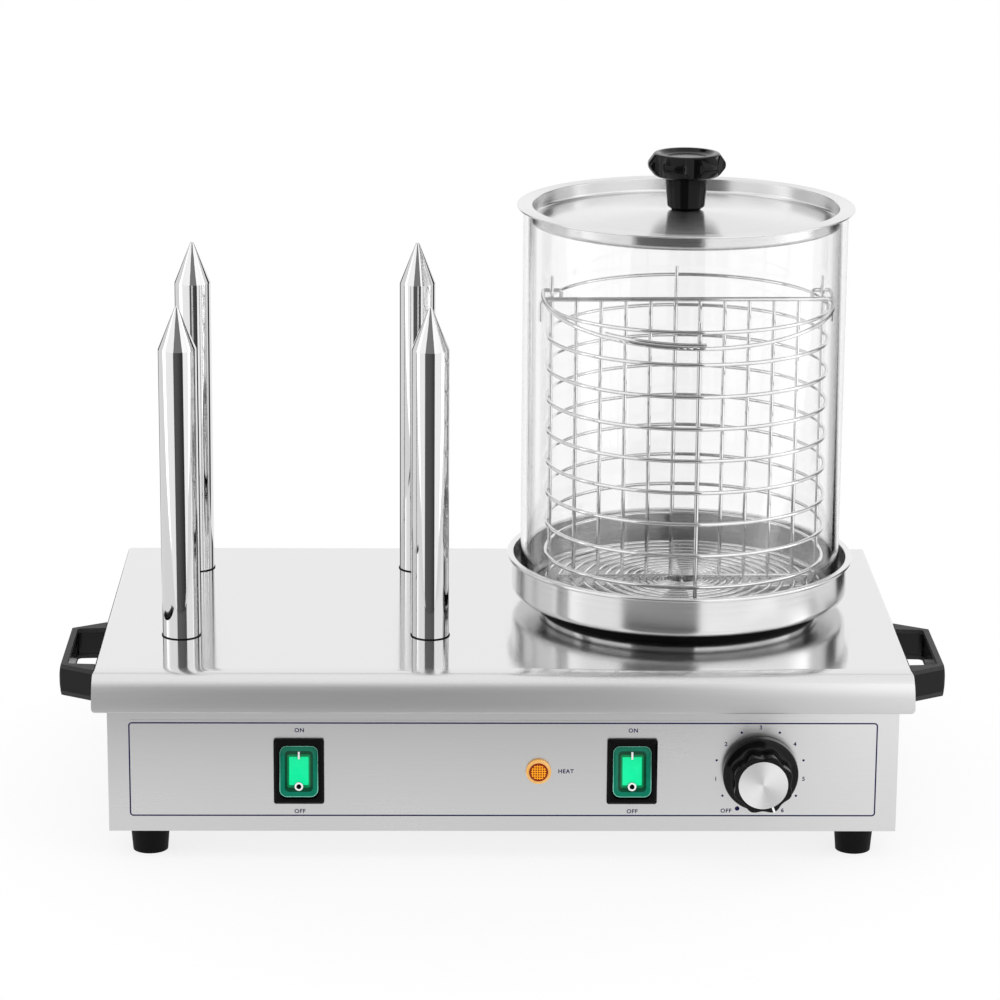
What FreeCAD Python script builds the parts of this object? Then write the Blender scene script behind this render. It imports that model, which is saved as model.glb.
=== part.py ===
import FreeCAD, Part
import math
import os

# Hot dog toaster in millimetres: +Z up from the floor, +X to the right of the panel, +Y to the back.
# A folded steel base carries four heated spikes on the left and a glass sausage steamer on the right.

# Clearances
fit_gap = 0.3
screw_play = 0.2
thread_gap = 0.05
running_gap = 0.05
weld_sink = 0.3
weld_gap = 0.05
same_point = 1e-6

# Glass cylinder
glass_radius = 100.0
glass_wall = 4.0
glass_height = 244.5

# Water pan, and the ring that holds it off the top plate
pan_sheet = 1.0
pan_gap = 4.2
pan_height = 25.5
pan_corner_radius = 3.5
pan_rim_width = 3.2
pan_rim_height = 2.4
pan_rim_round = 1.1
seat_ring_inset = 17.2
seat_ring_height = 7.5
seat_ring_wall = 3.0

# Toasting spikes
spike_radius = 11.6
spike_wall = 1.2
spike_cone_height = 26.0
spike_tip_radius = 1.0
front_spike_height = 205.0
rear_spike_height = 215.0
spike_tail_radius = 8.0
spike_tail_length = 15.0
spike_floor = 4.0
spike_row_depth = 148.8
front_pair_spacing = 152.1
rear_pair_spacing = 143.5
front_spike_inset = 87.9
collar_rim = 0.5
collar_height = 0.5
spike_nut_radius = 12.5
spike_nut_height = 6.0
cartridge_radius = 4.7
cartridge_tail = 6.0
cartridge_headroom = 55.0

# Where spikes and steamer stand on the top plate
spike_edge_inset = 48.0
spike_pan_gap = 48.3
pan_side_inset = 22.8
pan_front_inset = 52.7
pan_rear_inset = 14.5

# Folded base
sheet = 1.0
casing_height = 95.5
casing_lip = 14.0
plate_side_overhang = 9.0
plate_front_overhang = 3.0
plate_front_radius = 20.0
plate_front_flat = 0.8
plate_edge_radius = 2.5
plate_front_hem = 1.2
plate_side_hem = 3.0
vent_length = 32.0
vent_width = 4.0
vent_pitch = 12.0
vent_count = 8
vent_row_offset = 60.0
rear_vent_length = 26.0
rear_vent_drop = 45.0

# Feet
foot_height = 18.0
foot_top_radius = 12.0
foot_bottom_radius = 10.5
foot_side_inset = 23.0
foot_front_inset = 20.0
foot_bore_depth = 9.0
foot_bore_radius = 5.0

# Screws and nuts
screw_radius = 2.0
screw_head_radius = 3.8
screw_head_height = 2.6
nut_radius = 3.9
nut_height = 3.2
cover_screw_length = 9.0
cover_screw_head_height = 1.3
cover_screw_spacing = 150.0

# Handles
handle_reach = 21.8
handle_bar = 4.8
handle_bar_length = 72.0
handle_root_length = 102.0
handle_slot_length = 71.0
handle_slot_root = 74.0
handle_front_inset = 69.0
handle_top_gap = 1.5
handle_bottom_gap = 1.2
handle_crown = 1.3
handle_band = 2.7
handle_recess = 0.6
handle_corner_radius = 3.0
handle_screw_wall = 1.6
spacer_wall = 2.0

# Printed panel label
label_thickness = 0.25
label_side_margin = 11.5
label_top_gap = 4.9
label_bottom_gap = 8.2
label_corner_radius = 3.0
control_drop = 1.0

# Rocker switches
left_switch_x = -121.6
right_switch_x = 76.6
bezel_width = 30.0
bezel_height = 40.4
bezel_thickness = 3.2
bezel_chamfer = 1.6
bezel_corner_radius = 1.5
switch_body_width = 26.4
switch_body_height = 37.0
switch_body_depth = 25.0
switch_body_corner = 0.75
rocker_width = 23.0
rocker_height = 31.0
rocker_front = 4.2
rocker_back = 5.0
rocker_tilt = 8.0
rocker_corner_radius = 4.4
rocker_dish = 1.2
rocker_swing_gap = 1.1
rocker_pivot_depth = 1.0
rocker_pin_radius = 1.5
rocker_pin_reach = 0.9
blade_width = 6.3
blade_thickness = 0.8
blade_length = 8.0
blade_spacing = 16.0

# Heat lamp
lamp_x = 20.9
lamp_bezel_radius = 7.5
lamp_bezel_thickness = 2.2
lamp_lens_radius = 5.6
lamp_lens_height = 3.4
lamp_barrel_radius = 6.0
lamp_barrel_length = 22.0
lamp_nut_radius = 8.5
lamp_nut_height = 3.0
lamp_edge_round = 0.5
lens_stand = 0.2

# Thermostat and its knob
dial_x = 152.8
thermostat_width = 44.0
thermostat_height = 40.0
thermostat_depth = 28.0
bush_radius = 5.0
bush_front = 4.0
shaft_radius = 3.0
shaft_inner_length = 20.0
thermostat_screw_spacing = 28.0
thermostat_screw_length = 6.0
knob_gap = 1.2
knob_front = 26.0
knob_skirt_radius = 22.5
knob_skirt_front = 8.0
knob_waist_radius = 16.6
knob_waist_front = 12.5
knob_lobe_radius = 18.1
knob_dip_radius = 16.2
knob_lobes = 8
knob_cavity_radius = 19.0
knob_cavity_depth = 4.6
knob_hub_radius = 6.0
knob_socket_depth = 12.0
knob_edge_round = 1.2
knob_cap_radius = 14.6
knob_cap_thickness = 1.0
knob_pointer_angle = 157.0

# Pan heater, cut-out and sensing bulb
element_radius = 3.2
element_loop_radius = 60.0
element_end_gap = 26.0
element_drop = 34.0
pan_stud_radius = 3.0
pan_stud_length = 24.0
washer_radius = 9.0
washer_thickness = 1.5
cutout_radius = 8.0
cutout_height = 9.0
cutout_offset = 38.0
bulb_radius = 2.9
bulb_length = 60.0
bulb_offset = 26.0
capillary_radius = 1.1
capillary_bend = 6.0
capillary_inset = 4.4

# Mains inlet side
gland_x = 185.0
gland_height = 27.0
gland_reach = 18.0
gland_flange = 5.0
gland_flange_radius = 13.0
gland_dome_radius = 10.5
gland_dome_round = 2.5
gland_thread_radius = 9.8
gland_thread_length = 12.0
gland_bore_radius = 4.5
gland_nut_height = 5.0
block_width = 52.0
block_depth = 20.0
block_height = 22.0
block_rear_gap = 26.0
block_screw_spacing = 40.0
earth_stud_radius = 2.5
earth_stud_height = 18.0
earth_stud_gap = 22.0
lead_radius = 1.5
lead_height = 14.0
lead_pitch = 10.0
lead_first_run = 14.0

# Wire basket
wire_radius = 1.2
basket_gap = 8.0
basket_ring_count = 10
basket_ring_pitch = 19.8
basket_offset = 2.4
basket_turn = 1.25
post_over_bail = 10.0
rear_post_drop = 11.0
post_bend = 6.0
floor_ring_first = 11.0
floor_ring_pitch = 2.0
floor_ring_growth = 0.245
divider_count = 10
divider_rod_radius = 1.4
divider_hook_reach = 4.2
divider_hook_drop = 14.0
divider_hook_bend = 3.0
divider_foot_gap = 2.4

# Bail
bail_wire_radius = 1.25
bail_gap = 0.75
bail_over_ring = 6.95
bail_droop = 10.0
bail_bend = 3.0
bail_pin_reach = 6.0
bail_hook_drop = 5.0
bail_hook_bend = 2.0
bail_lap_start = -55.0
bail_lap_end = 3.5
eye_wire_radius = 1.0

# Lid
lid_sheet = 1.0
lid_plug_gap = 0.7
lid_overhang = 4.0
lid_lip = 2.6
lid_recess = 9.0
lid_dome_rise = 6.5
lid_floor_margin = 4.0
lid_corner_radius = 2.0
lid_knob_foot_radius = 8.6
lid_knob_stem_radius = 11.5
lid_knob_neck_radius = 13.2
lid_knob_chamfer = 2.2
lid_knob_neck_height = 20.2
lid_knob_radius = 25.8
lid_knob_belly = 29.2
lid_knob_height = 35.2
lid_knob_crown_radius = 18.5
lid_knob_dish = 2.4
lid_knob_crown_fall = 0.05
lid_knob_scallops = 6
lid_knob_scallop_radius = 8.5
lid_knob_scallop_depth = 4.8
lid_knob_scallop_turn = 7.0
lid_screw_radius = 2.5
lid_screw_depth = 15.0
lid_screw_head_radius = 4.6
lid_screw_head_height = 3.0

# Sizes worked out from those above
glass_inner = glass_radius - glass_wall
pan_wall_inner = glass_radius + pan_gap
pan_wall_outer = pan_wall_inner + pan_sheet
pan_rim_radius = pan_wall_outer + pan_rim_width
plate_width = spike_edge_inset + front_pair_spacing + spike_pan_gap + 2 * pan_rim_radius + pan_side_inset
plate_depth = pan_front_inset + 2 * pan_rim_radius + pan_rear_inset
plate_drop = plate_front_radius + plate_front_flat + plate_front_hem
plate_right = plate_width / 2
plate_front = -plate_depth / 2
casing_right = plate_right - plate_side_overhang
casing_front = plate_front + plate_front_overhang
casing_back = -casing_front
casing_base = foot_height
wall_reach = 2 * sheet
cover_top = casing_base + sheet
lip_top = cover_top + sheet
plate_under = casing_base + casing_height
plate_top = plate_under + sheet
steamer_x = plate_right - pan_side_inset - pan_rim_radius
steamer_y = plate_front + pan_front_inset + pan_rim_radius
left_spike_x = -plate_right + spike_edge_inset
front_spike_y = plate_front + front_spike_inset
pan_base = plate_top + seat_ring_height
pan_floor = pan_base + pan_sheet
glass_top = pan_floor + glass_height
label_top = plate_top - plate_drop - label_top_gap
label_bottom = casing_base + label_bottom_gap
control_z = (label_top + label_bottom) / 2 - control_drop
front_reach = knob_front - casing_front
rear_reach = casing_back + gland_reach
origin_shift = (front_reach - rear_reach) / 2


def vector(x, y, z):
    return FreeCAD.Vector(x, y, z)


Z_AXIS = vector(0, 0, 1)
X_AXIS = vector(1, 0, 0)
ORIGIN = vector(0, 0, 0)


def save(name, *solids):
    """Writes one named piece, moved so that the whole stands centred on the origin."""
    shape = solids[0] if len(solids) == 1 else Part.makeCompound(list(solids))
    shape.translate(vector(0, origin_shift, 0))
    shape.exportStep(os.path.join("parts", name + ".step"))


def box(x0, x1, y0, y1, z0, z1):
    return Part.makeBox(x1 - x0, y1 - y0, z1 - z0, vector(x0, y0, z0))


def rod(radius, start, end):
    """Round bar from one point to another."""
    axis = end - start
    return Part.makeCylinder(radius, axis.Length, start, axis)


def upright_rod(radius, x, y, z0, z1):
    return rod(radius, vector(x, y, z0), vector(x, y, z1))


def rounded_wire(corners, place):
    """Closed outline through (a, b, radius) corners, each rounded by its own radius."""
    spots = [vector(a, b, 0) for a, b, _ in corners]
    edges = []
    last = None
    first = None
    for i, (_, _, radius) in enumerate(corners):
        here = spots[i]
        back = (spots[i - 1] - here).normalize()
        ahead = (spots[(i + 1) % len(spots)] - here).normalize()
        start, end = here, here
        if radius > 0:
            half = back.getAngle(ahead) / 2
            start = here + back * (radius / math.tan(half))
            end = here + ahead * (radius / math.tan(half))
            middle = here + (back + ahead).normalize() * (radius / math.sin(half) - radius)
        if last is not None and (start - last).Length > same_point:
            edges.append(Part.LineSegment(place(last), place(start)).toShape())
        if radius > 0:
            edges.append(Part.Arc(place(start), place(middle), place(end)).toShape())
        first = start if first is None else first
        last = end
    if (first - last).Length > same_point:
        edges.append(Part.LineSegment(place(last), place(first)).toShape())
    return Part.Wire(edges)


def turned(corners, x=0.0, y=0.0, z=0.0):
    """Solid of revolution about a vertical axis, from (radius, height, rounding) corners."""
    face = Part.Face(rounded_wire(corners, lambda p: vector(p.x, 0, p.y)))
    solid = face.revolve(ORIGIN, Z_AXIS, 360)
    solid.translate(vector(x, y, z))
    return solid


def ring(inner, outer, z0, z1, x=0.0, y=0.0):
    return turned([(inner, z0, 0), (outer, z0, 0), (outer, z1, 0), (inner, z1, 0)], x, y)


def plan_prism(corners, z0, z1):
    """Upright prism on a rounded outline given as (x, y, radius) corners."""
    face = Part.Face(rounded_wire(corners, lambda p: vector(p.x, p.y, z0)))
    return face.extrude(vector(0, 0, z1 - z0))


def block_corners(width, height, radius):
    right, top = width / 2, height / 2
    return [(-right, -top, radius), (right, -top, radius), (right, top, radius), (-right, top, radius)]


def rounded_block(width, height, radius, z0, z1):
    return plan_prism(block_corners(width, height, radius), z0, z1)


def bent_wire(points, bend, radius):
    """Round wire along straight runs that are joined by arcs of the given bend radius."""
    edges = []
    last = points[0]
    for before, here, after in zip(points, points[1:], points[2:]):
        back = (before - here).normalize()
        ahead = (after - here).normalize()
        half = back.getAngle(ahead) / 2
        start = here + back * (bend / math.tan(half))
        end = here + ahead * (bend / math.tan(half))
        middle = here + (back + ahead).normalize() * (bend / math.sin(half) - bend)
        edges.append(Part.LineSegment(last, start).toShape())
        edges.append(Part.Arc(start, middle, end).toShape())
        last = end
    edges.append(Part.LineSegment(last, points[-1]).toShape())
    return swept(edges, points[0], points[1] - points[0], radius)


def swept(edges, start, direction, radius):
    section = Part.Wire(Part.makeCircle(radius, start, direction))
    return Part.Wire(edges).makePipeShell([section], True, False)


def screw(length, radius=screw_radius, head=screw_head_radius, head_height=screw_head_height):
    """Pan head screw with its head seat at zero and its shank along +Z."""
    shank = Part.makeCylinder(radius - thread_gap, length + head_height, vector(0, 0, -head_height))
    return Part.makeCylinder(head, head_height, vector(0, 0, -head_height)).fuse(shank).removeSplitter()


def hexagon_nut(radius, height, bore):
    """Hexagon nut with its seat at zero, along +Z."""
    points = [vector(radius, 0, 0)]
    for side in range(1, 7):
        angle = math.radians(60 * side)
        points.append(vector(radius * math.cos(angle), radius * math.sin(angle), 0))
    body = Part.Face(Part.makePolygon(points)).extrude(vector(0, 0, height))
    return body.cut(Part.makeCylinder(bore, height))


def moved(shape, x, y, z):
    copy = shape.copy()
    copy.translate(vector(x, y, z))
    return copy


def facing(shape, angle, axis, x, y, z):
    """Turns a copy about the origin, then carries it to its place."""
    copy = shape.copy()
    copy.rotate(ORIGIN, axis, angle)
    copy.translate(vector(x, y, z))
    return copy


def on_panel(shape, x, z=None):
    """Stands a piece on the casing's front face: its +Z points out of the panel and its +Y up."""
    return facing(shape, 90, X_AXIS, x, casing_front, control_z if z is None else z)


def plate_section(inset, floor):
    """Side outline of the top plate: the large front round, the rear bend and the hems."""
    front, back = plate_front + inset, -plate_front - inset
    top = plate_top - inset
    hem = plate_front_hem - inset
    return [(front, floor, hem), (back, floor, hem), (back, top, plate_edge_radius - inset),
            (front, top, plate_front_radius - inset)]


def plate_face(inset, floor):
    """Front outline of the top plate."""
    side = plate_right - inset
    top = plate_top - inset
    hem = plate_side_hem - inset
    bend = plate_edge_radius - inset
    return [(-side, floor, hem), (side, floor, hem), (side, top, bend), (-side, top, bend)]


def plate_body(inset, floor):
    """Block bounded by the top plate's outside, or by its inside when it is inset."""
    section = Part.Face(rounded_wire(plate_section(inset, floor), lambda p: vector(-plate_width, p.x, p.y)))
    front = Part.Face(rounded_wire(plate_face(inset, floor), lambda p: vector(p.x, -plate_depth, p.y)))
    length = section.extrude(vector(2 * plate_width, 0, 0))
    depth = front.extrude(vector(0, 2 * plate_depth, 0))
    return length.common(depth)


def spike_places():
    """Name, x, y and height of each spike."""
    rear_y = front_spike_y + spike_row_depth
    return [
        ("front_left", left_spike_x, front_spike_y, front_spike_height),
        ("front_right", left_spike_x + front_pair_spacing, front_spike_y, front_spike_height),
        ("rear_left", left_spike_x, rear_y, rear_spike_height),
        ("rear_right", left_spike_x + rear_pair_spacing, rear_y, rear_spike_height),
    ]


def foot_places():
    side = casing_right - foot_side_inset
    front = casing_front + foot_front_inset
    return [("front_left", -side, front), ("front_right", side, front),
            ("rear_left", -side, -front), ("rear_right", side, -front)]


def cover_screw_places():
    side = casing_right - sheet - casing_lip / 2
    front = casing_front + sheet + casing_lip / 2
    rows = [(x, y) for x in (-cover_screw_spacing, 0, cover_screw_spacing) for y in (front, -front)]
    return rows + [(-side, 0), (side, 0)]


def handle_centre_y():
    return plate_front + handle_front_inset


def handle_height():
    return plate_drop - handle_top_gap - handle_bottom_gap


def handle_mid_z():
    return plate_top - handle_top_gap - handle_height() / 2


def handle_screw_offset():
    """How far each screw is from the middle of its handle, so that its leg keeps a wall inside it."""
    return handle_slot_root / 2 + handle_screw_wall + screw_radius


def handle_screw_depth():
    """Depth of the hole that still leaves that wall under the leg's sloping outside."""
    room = handle_root_length / 2 - handle_recess - handle_screw_offset() - screw_radius - handle_screw_wall
    return handle_reach * room / (handle_root_length / 2 - handle_bar_length / 2)


def handle_screw_places():
    """Side, y of the four handle screws."""
    middle = handle_centre_y()
    offset = handle_screw_offset()
    return [(side, middle + shift) for side in (-1, 1) for shift in (-offset, offset)]


def block_place():
    return gland_x, casing_back - sheet - block_rear_gap - block_depth / 2


def element_end_places():
    """Where the two ends of the pan heater pass through the top plate."""
    half = element_end_gap / 2
    reach = math.sqrt(element_loop_radius ** 2 - half ** 2)
    return [(steamer_x - half, steamer_y - reach), (steamer_x + half, steamer_y - reach)]


def capillary_hole():
    return steamer_x + bulb_length / 2 + capillary_bend + 2 * capillary_radius, steamer_y + bulb_offset


def thermostat_screws_x():
    return dial_x - thermostat_screw_spacing / 2, dial_x + thermostat_screw_spacing / 2


def slots(x0, y0, length, count, pitch):
    """Row of round-ended slots that run in Y and follow one another in X."""
    cutters = []
    for index in range(count):
        slot = rounded_block(vent_width, length, vent_width / 2 - thread_gap, -sheet, sheet)
        cutters.append(moved(slot, x0 + (index - (count - 1) / 2) * pitch, y0, 0))
    return cutters


def base_casing():
    """Wrap of four walls with a lip at the foot, cut to the round of the top plate."""
    inside = casing_right - sheet
    inside_front = casing_front + sheet
    shell = box(-casing_right, casing_right, casing_front, casing_back, casing_base, plate_top)
    shell = shell.cut(box(-inside, inside, inside_front, -inside_front, 0, 2 * plate_top))
    lip = box(-inside, inside, inside_front, -inside_front, cover_top, lip_top)
    well = inside - casing_lip
    well_front = inside_front + casing_lip
    lip = lip.cut(box(-well, well, well_front, -well_front, 0, plate_top))
    casing = shell.fuse(lip).common(plate_body(sheet, 0))
    cutters = []
    for x in (left_switch_x, right_switch_x):
        opening = rounded_block(switch_body_width + 2 * fit_gap, switch_body_height + 2 * fit_gap,
                                bezel_corner_radius, -wall_reach, sheet)
        cutters.append(on_panel(opening, x))
    cutters.append(on_panel(ring_hole(lamp_barrel_radius + screw_play), lamp_x))
    cutters.append(on_panel(ring_hole(bush_radius + fit_gap), dial_x))
    for x in thermostat_screws_x():
        cutters.append(on_panel(ring_hole(screw_radius + screw_play), x))
    cutters.append(moved(facing(ring_hole(gland_thread_radius + screw_play), 90, X_AXIS, 0, 0, 0),
                         gland_x, casing_back, casing_base + gland_height))
    for side, y in handle_screw_places():
        start = vector(side * (inside - sheet), y, handle_mid_z())
        cutters.append(rod(screw_radius + screw_play, start, start + vector(side * 2 * wall_reach, 0, 0)))
    for x, y in cover_screw_places():
        cutters.append(upright_rod(screw_radius, x, y, casing_base, lip_top + sheet))
    rear = slots(0, 0, rear_vent_length, vent_count, vent_pitch)
    cutters += [facing(slot, 90, X_AXIS, 0, casing_back, plate_top - rear_vent_drop) for slot in rear]
    return casing.cut(cutters)


def ring_hole(radius):
    return Part.makeCylinder(radius, 2 * wall_reach, vector(0, 0, -wall_reach))


def bottom_cover():
    """Sheet that closes the base from below, inside the walls and under the lip."""
    side = casing_right - sheet - fit_gap
    front = casing_front + sheet + fit_gap
    cover = box(-side, side, front, -front, casing_base, cover_top)
    cutters = [upright_rod(screw_radius + screw_play, x, y, 0, plate_top) for _, x, y in foot_places()]
    cutters += [upright_rod(screw_radius + screw_play, x, y, 0, plate_top) for x, y in cover_screw_places()]
    for y in (-vent_row_offset, vent_row_offset / 2):
        cutters += [moved(slot, 0, 0, cover_top - sheet / 2)
                    for slot in slots(0, y, vent_length, vent_count, vent_pitch)]
    block_x, block_y = block_place()
    for shift in (-1, 1):
        cutters.append(upright_rod(screw_radius + screw_play, block_x + shift * block_screw_spacing / 2,
                                   block_y, 0, plate_top))
    earth_x, earth_y = earth_place()
    cutters.append(upright_rod(earth_stud_radius + screw_play, earth_x, earth_y, 0, plate_top))
    return cover.cut(cutters)


def earth_place():
    block_x, block_y = block_place()
    return block_x - block_width / 2 - earth_stud_gap, block_y


def top_plate():
    """Lid of the base with its quarter-round front, drop flange and curled hem."""
    floor = plate_top - plate_drop
    hollow = plate_body(sheet, floor + sheet)
    side_mouth = plate_right - plate_side_hem
    front_mouth = plate_front + plate_front_hem
    hollow = hollow.fuse(box(-side_mouth, side_mouth, front_mouth, -front_mouth,
                             floor - sheet, floor + plate_side_hem))
    plate = plate_body(0, floor).cut(hollow)
    cutters = [upright_rod(spike_tail_radius + screw_play, x, y, 0, 2 * plate_top)
               for _, x, y, _ in spike_places()]
    cutters += [upright_rod(element_radius + fit_gap, x, y, 0, 2 * plate_top)
                for x, y in element_end_places()]
    cutters.append(upright_rod(pan_stud_radius + screw_play, steamer_x, steamer_y, 0, 2 * plate_top))
    hole_x, hole_y = capillary_hole()
    cutters.append(upright_rod(capillary_radius + fit_gap, hole_x, hole_y, 0, 2 * plate_top))
    for side, y in handle_screw_places():
        start = vector(side * (casing_right + sheet), y, handle_mid_z())
        end = vector(side * (plate_right + sheet), y, handle_mid_z())
        cutters.append(rod(screw_radius + screw_play, start, end))
    return plate.cut(cutters)


def handle():
    """Left handle: a bar on two flared legs, with a textured band at its top and bottom."""
    wall = -plate_right
    outer = wall - handle_reach
    bar = outer + handle_bar
    overlap = wall + handle_corner_radius
    half = handle_bar_length / 2
    root = handle_root_length / 2
    slot = handle_slot_length / 2
    slot_root = handle_slot_root / 2
    y = handle_centre_y()
    low = handle_mid_z() - handle_height() / 2
    high = handle_mid_z() + handle_height() / 2

    def plan(inset, z0, z1):
        outside = [(outer, y - half + inset, handle_corner_radius),
                   (overlap, y - root + inset, 0),
                   (overlap, y + root - inset, 0),
                   (outer, y + half - inset, handle_corner_radius)]
        opening = [(bar, y - slot - inset, handle_corner_radius),
                   (overlap + sheet, y - slot_root - inset, 0),
                   (overlap + sheet, y + slot_root + inset, 0),
                   (bar, y + slot + inset, handle_corner_radius)]
        return plan_prism(outside, z0, z1).cut(plan_prism(opening, z0, z1))

    body = plan(0, low, low + handle_band)
    body = body.fuse(plan(handle_recess, low + handle_band, high - handle_band))
    body = body.fuse(plan(0, high - handle_band, high))
    crown = [Part.LineSegment(vector(outer + handle_crown, y, high), vector(wall, y, high)).toShape(),
             Part.LineSegment(vector(wall, y, high), vector(wall, y, low)).toShape(),
             Part.LineSegment(vector(wall, y, low), vector(outer + handle_crown, y, low)).toShape(),
             Part.Arc(vector(outer + handle_crown, y, low), vector(outer, y, handle_mid_z()),
                      vector(outer + handle_crown, y, high)).toShape()]
    envelope = Part.Face(Part.Wire(crown))
    envelope.translate(vector(0, -handle_root_length, 0))
    body = body.common(envelope.extrude(vector(0, 2 * handle_root_length, 0)))
    for side, screw_y in handle_screw_places():
        if side < 0:
            start = vector(wall, screw_y, handle_mid_z())
            body = body.cut(rod(screw_radius, start, start - vector(handle_screw_depth(), 0, 0)))
    return body.removeSplitter()


def handle_fasteners():
    """Screws from inside the casing into the handles, and the tubes that hold the plate's flange."""
    screws, spacers = [], []
    for side, y in handle_screw_places():
        seat = side * (casing_right - sheet)
        length = plate_right - casing_right + sheet + handle_screw_depth() - fit_gap
        screws.append(facing(screw(length), 90 * side, vector(0, 1, 0), seat, y, handle_mid_z()))
        inside = plate_right - sheet
        tube = rod(screw_radius + spacer_wall, vector(side * casing_right, y, handle_mid_z()),
                   vector(side * inside, y, handle_mid_z()))
        bore = rod(screw_radius + screw_play, vector(side * casing_right, y, handle_mid_z()),
                   vector(side * inside, y, handle_mid_z()))
        spacers.append(tube.cut(bore))
    return screws, spacers


def foot(x, y):
    """Rubber foot with a stepped bore for its screw."""
    body = Part.makeCone(foot_bottom_radius, foot_top_radius, foot_height, vector(x, y, 0))
    body = body.cut(upright_rod(foot_bore_radius, x, y, 0, foot_bore_depth))
    return body.cut(upright_rod(screw_radius + screw_play, x, y, 0, foot_height))


def spike(x, y, height):
    """Hollow pointed tube with a threaded tail below the top plate."""
    shoulder = height - spike_cone_height
    bore = spike_radius - spike_wall
    tail_bore = cartridge_radius + running_gap
    body = turned([(0, -spike_tail_length, 0), (spike_tail_radius, -spike_tail_length, 0),
                   (spike_tail_radius, 0, 0), (spike_radius, 0, 0), (spike_radius, shoulder, 0),
                   (spike_tip_radius, height, spike_tip_radius), (0, height, 0)], x, y, plate_top)
    hollow = turned([(0, -spike_tail_length - sheet, 0), (tail_bore, -spike_tail_length - sheet, 0),
                     (tail_bore, spike_floor, 0), (bore, spike_floor, 0), (bore, shoulder - spike_floor, 0),
                     (0, shoulder - spike_floor, 0)], x, y, plate_top)
    return body.cut(hollow)


def spike_fittings():
    """Collars, nuts and heater cartridges of the four spikes."""
    collars, nuts, cartridges = [], [], []
    for _, x, y, height in spike_places():
        collars.append(ring(spike_radius + weld_gap, spike_radius + collar_rim, plate_top,
                            plate_top + collar_height, x, y))
        nut = hexagon_nut(spike_nut_radius, spike_nut_height, spike_tail_radius + thread_gap)
        nuts.append(moved(nut, x, y, plate_under - spike_nut_height))
        cartridges.append(upright_rod(cartridge_radius, x, y,
                                      plate_top - spike_tail_length - cartridge_tail,
                                      plate_top + height - cartridge_headroom))
    return collars, nuts, cartridges


def water_pan():
    """Drawn dish with a curled rim."""
    rim = pan_height - pan_rim_height
    return turned([(0, 0, 0), (pan_wall_outer, 0, pan_corner_radius + pan_sheet), (pan_wall_outer, rim, 0),
                   (pan_rim_radius, rim, pan_rim_round), (pan_rim_radius, pan_height, pan_rim_round),
                   (pan_wall_inner, pan_height, pan_rim_round),
                   (pan_wall_inner, pan_sheet, pan_corner_radius), (0, pan_sheet, 0)],
                  steamer_x, steamer_y, pan_base)


def pan_seat_ring():
    outer = pan_wall_outer - seat_ring_inset
    return ring(outer - seat_ring_wall, outer, plate_top, pan_base, steamer_x, steamer_y)


def pan_element():
    """Tubular heater: an open loop under the pan whose two ends turn down through the top plate."""
    z = pan_base - element_radius - weld_gap
    turn_angle = math.asin(element_end_gap / 2 / element_loop_radius)
    centre = vector(steamer_x, steamer_y, z)

    def loop_point(angle):
        across = element_loop_radius * math.sin(angle)
        return centre + vector(across, -element_loop_radius * math.cos(angle), 0)

    loop = Part.Arc(loop_point(turn_angle), loop_point(math.pi), loop_point(-turn_angle)).toShape()
    section = Part.Wire(Part.makeCircle(element_radius, loop_point(turn_angle),
                                        vector(math.cos(turn_angle), math.sin(turn_angle), 0)))
    tube = Part.Wire([loop]).makePipeShell([section], True, False)
    for side in (-1, 1):
        top = loop_point(side * turn_angle)
        tube = tube.fuse(upright_rod(element_radius, top.x, top.y, plate_top - element_drop, z))
        tube = tube.fuse(Part.makeSphere(element_radius, top))
    return tube.removeSplitter()


def pan_fixings():
    """Stud welded under the pan, its nut and washer below the top plate."""
    stud = upright_rod(pan_stud_radius, steamer_x, steamer_y, pan_base - pan_stud_length, pan_base)
    washer = ring(pan_stud_radius + screw_play, washer_radius, plate_under - washer_thickness, plate_under,
                  steamer_x, steamer_y)
    nut = hexagon_nut(2 * pan_stud_radius, nut_height, pan_stud_radius + thread_gap)
    return stud, washer, moved(nut, steamer_x, steamer_y, plate_under - washer_thickness - nut_height)


def thermal_cutout():
    x, y = steamer_x + cutout_offset, steamer_y
    body = upright_rod(cutout_radius, x, y, plate_under - cutout_height, plate_under)
    for side in (-1, 1):
        left = x + side * cutout_radius / 2 - blade_thickness
        blade = box(left, left + 2 * blade_thickness, y - blade_width / 2, y + blade_width / 2,
                    plate_under - cutout_height - blade_length, plate_under - cutout_height)
        body = body.fuse(blade)
    return body.removeSplitter()


def sensing_line():
    """Bulb under the pan, and the capillary that runs from it to the thermostat."""
    z = pan_base - bulb_radius - fit_gap
    start = vector(steamer_x - bulb_length / 2, steamer_y + bulb_offset, z)
    end = vector(steamer_x + bulb_length / 2, steamer_y + bulb_offset, z)
    hole_x, hole_y = capillary_hole()
    depth = (plate_under + lip_top) / 2
    back = casing_front + sheet + thermostat_depth
    drop_x = dial_x + thermostat_width / 2 - capillary_inset
    lift_y = back + 2 * capillary_bend
    path = [end, vector(hole_x, hole_y, z), vector(hole_x, hole_y, depth),
            vector(drop_x, hole_y, depth), vector(drop_x, lift_y, depth),
            vector(drop_x, lift_y, control_z), vector(drop_x, back, control_z)]
    return rod(bulb_radius, start, end), bent_wire(path, capillary_bend / 2, capillary_radius)


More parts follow.
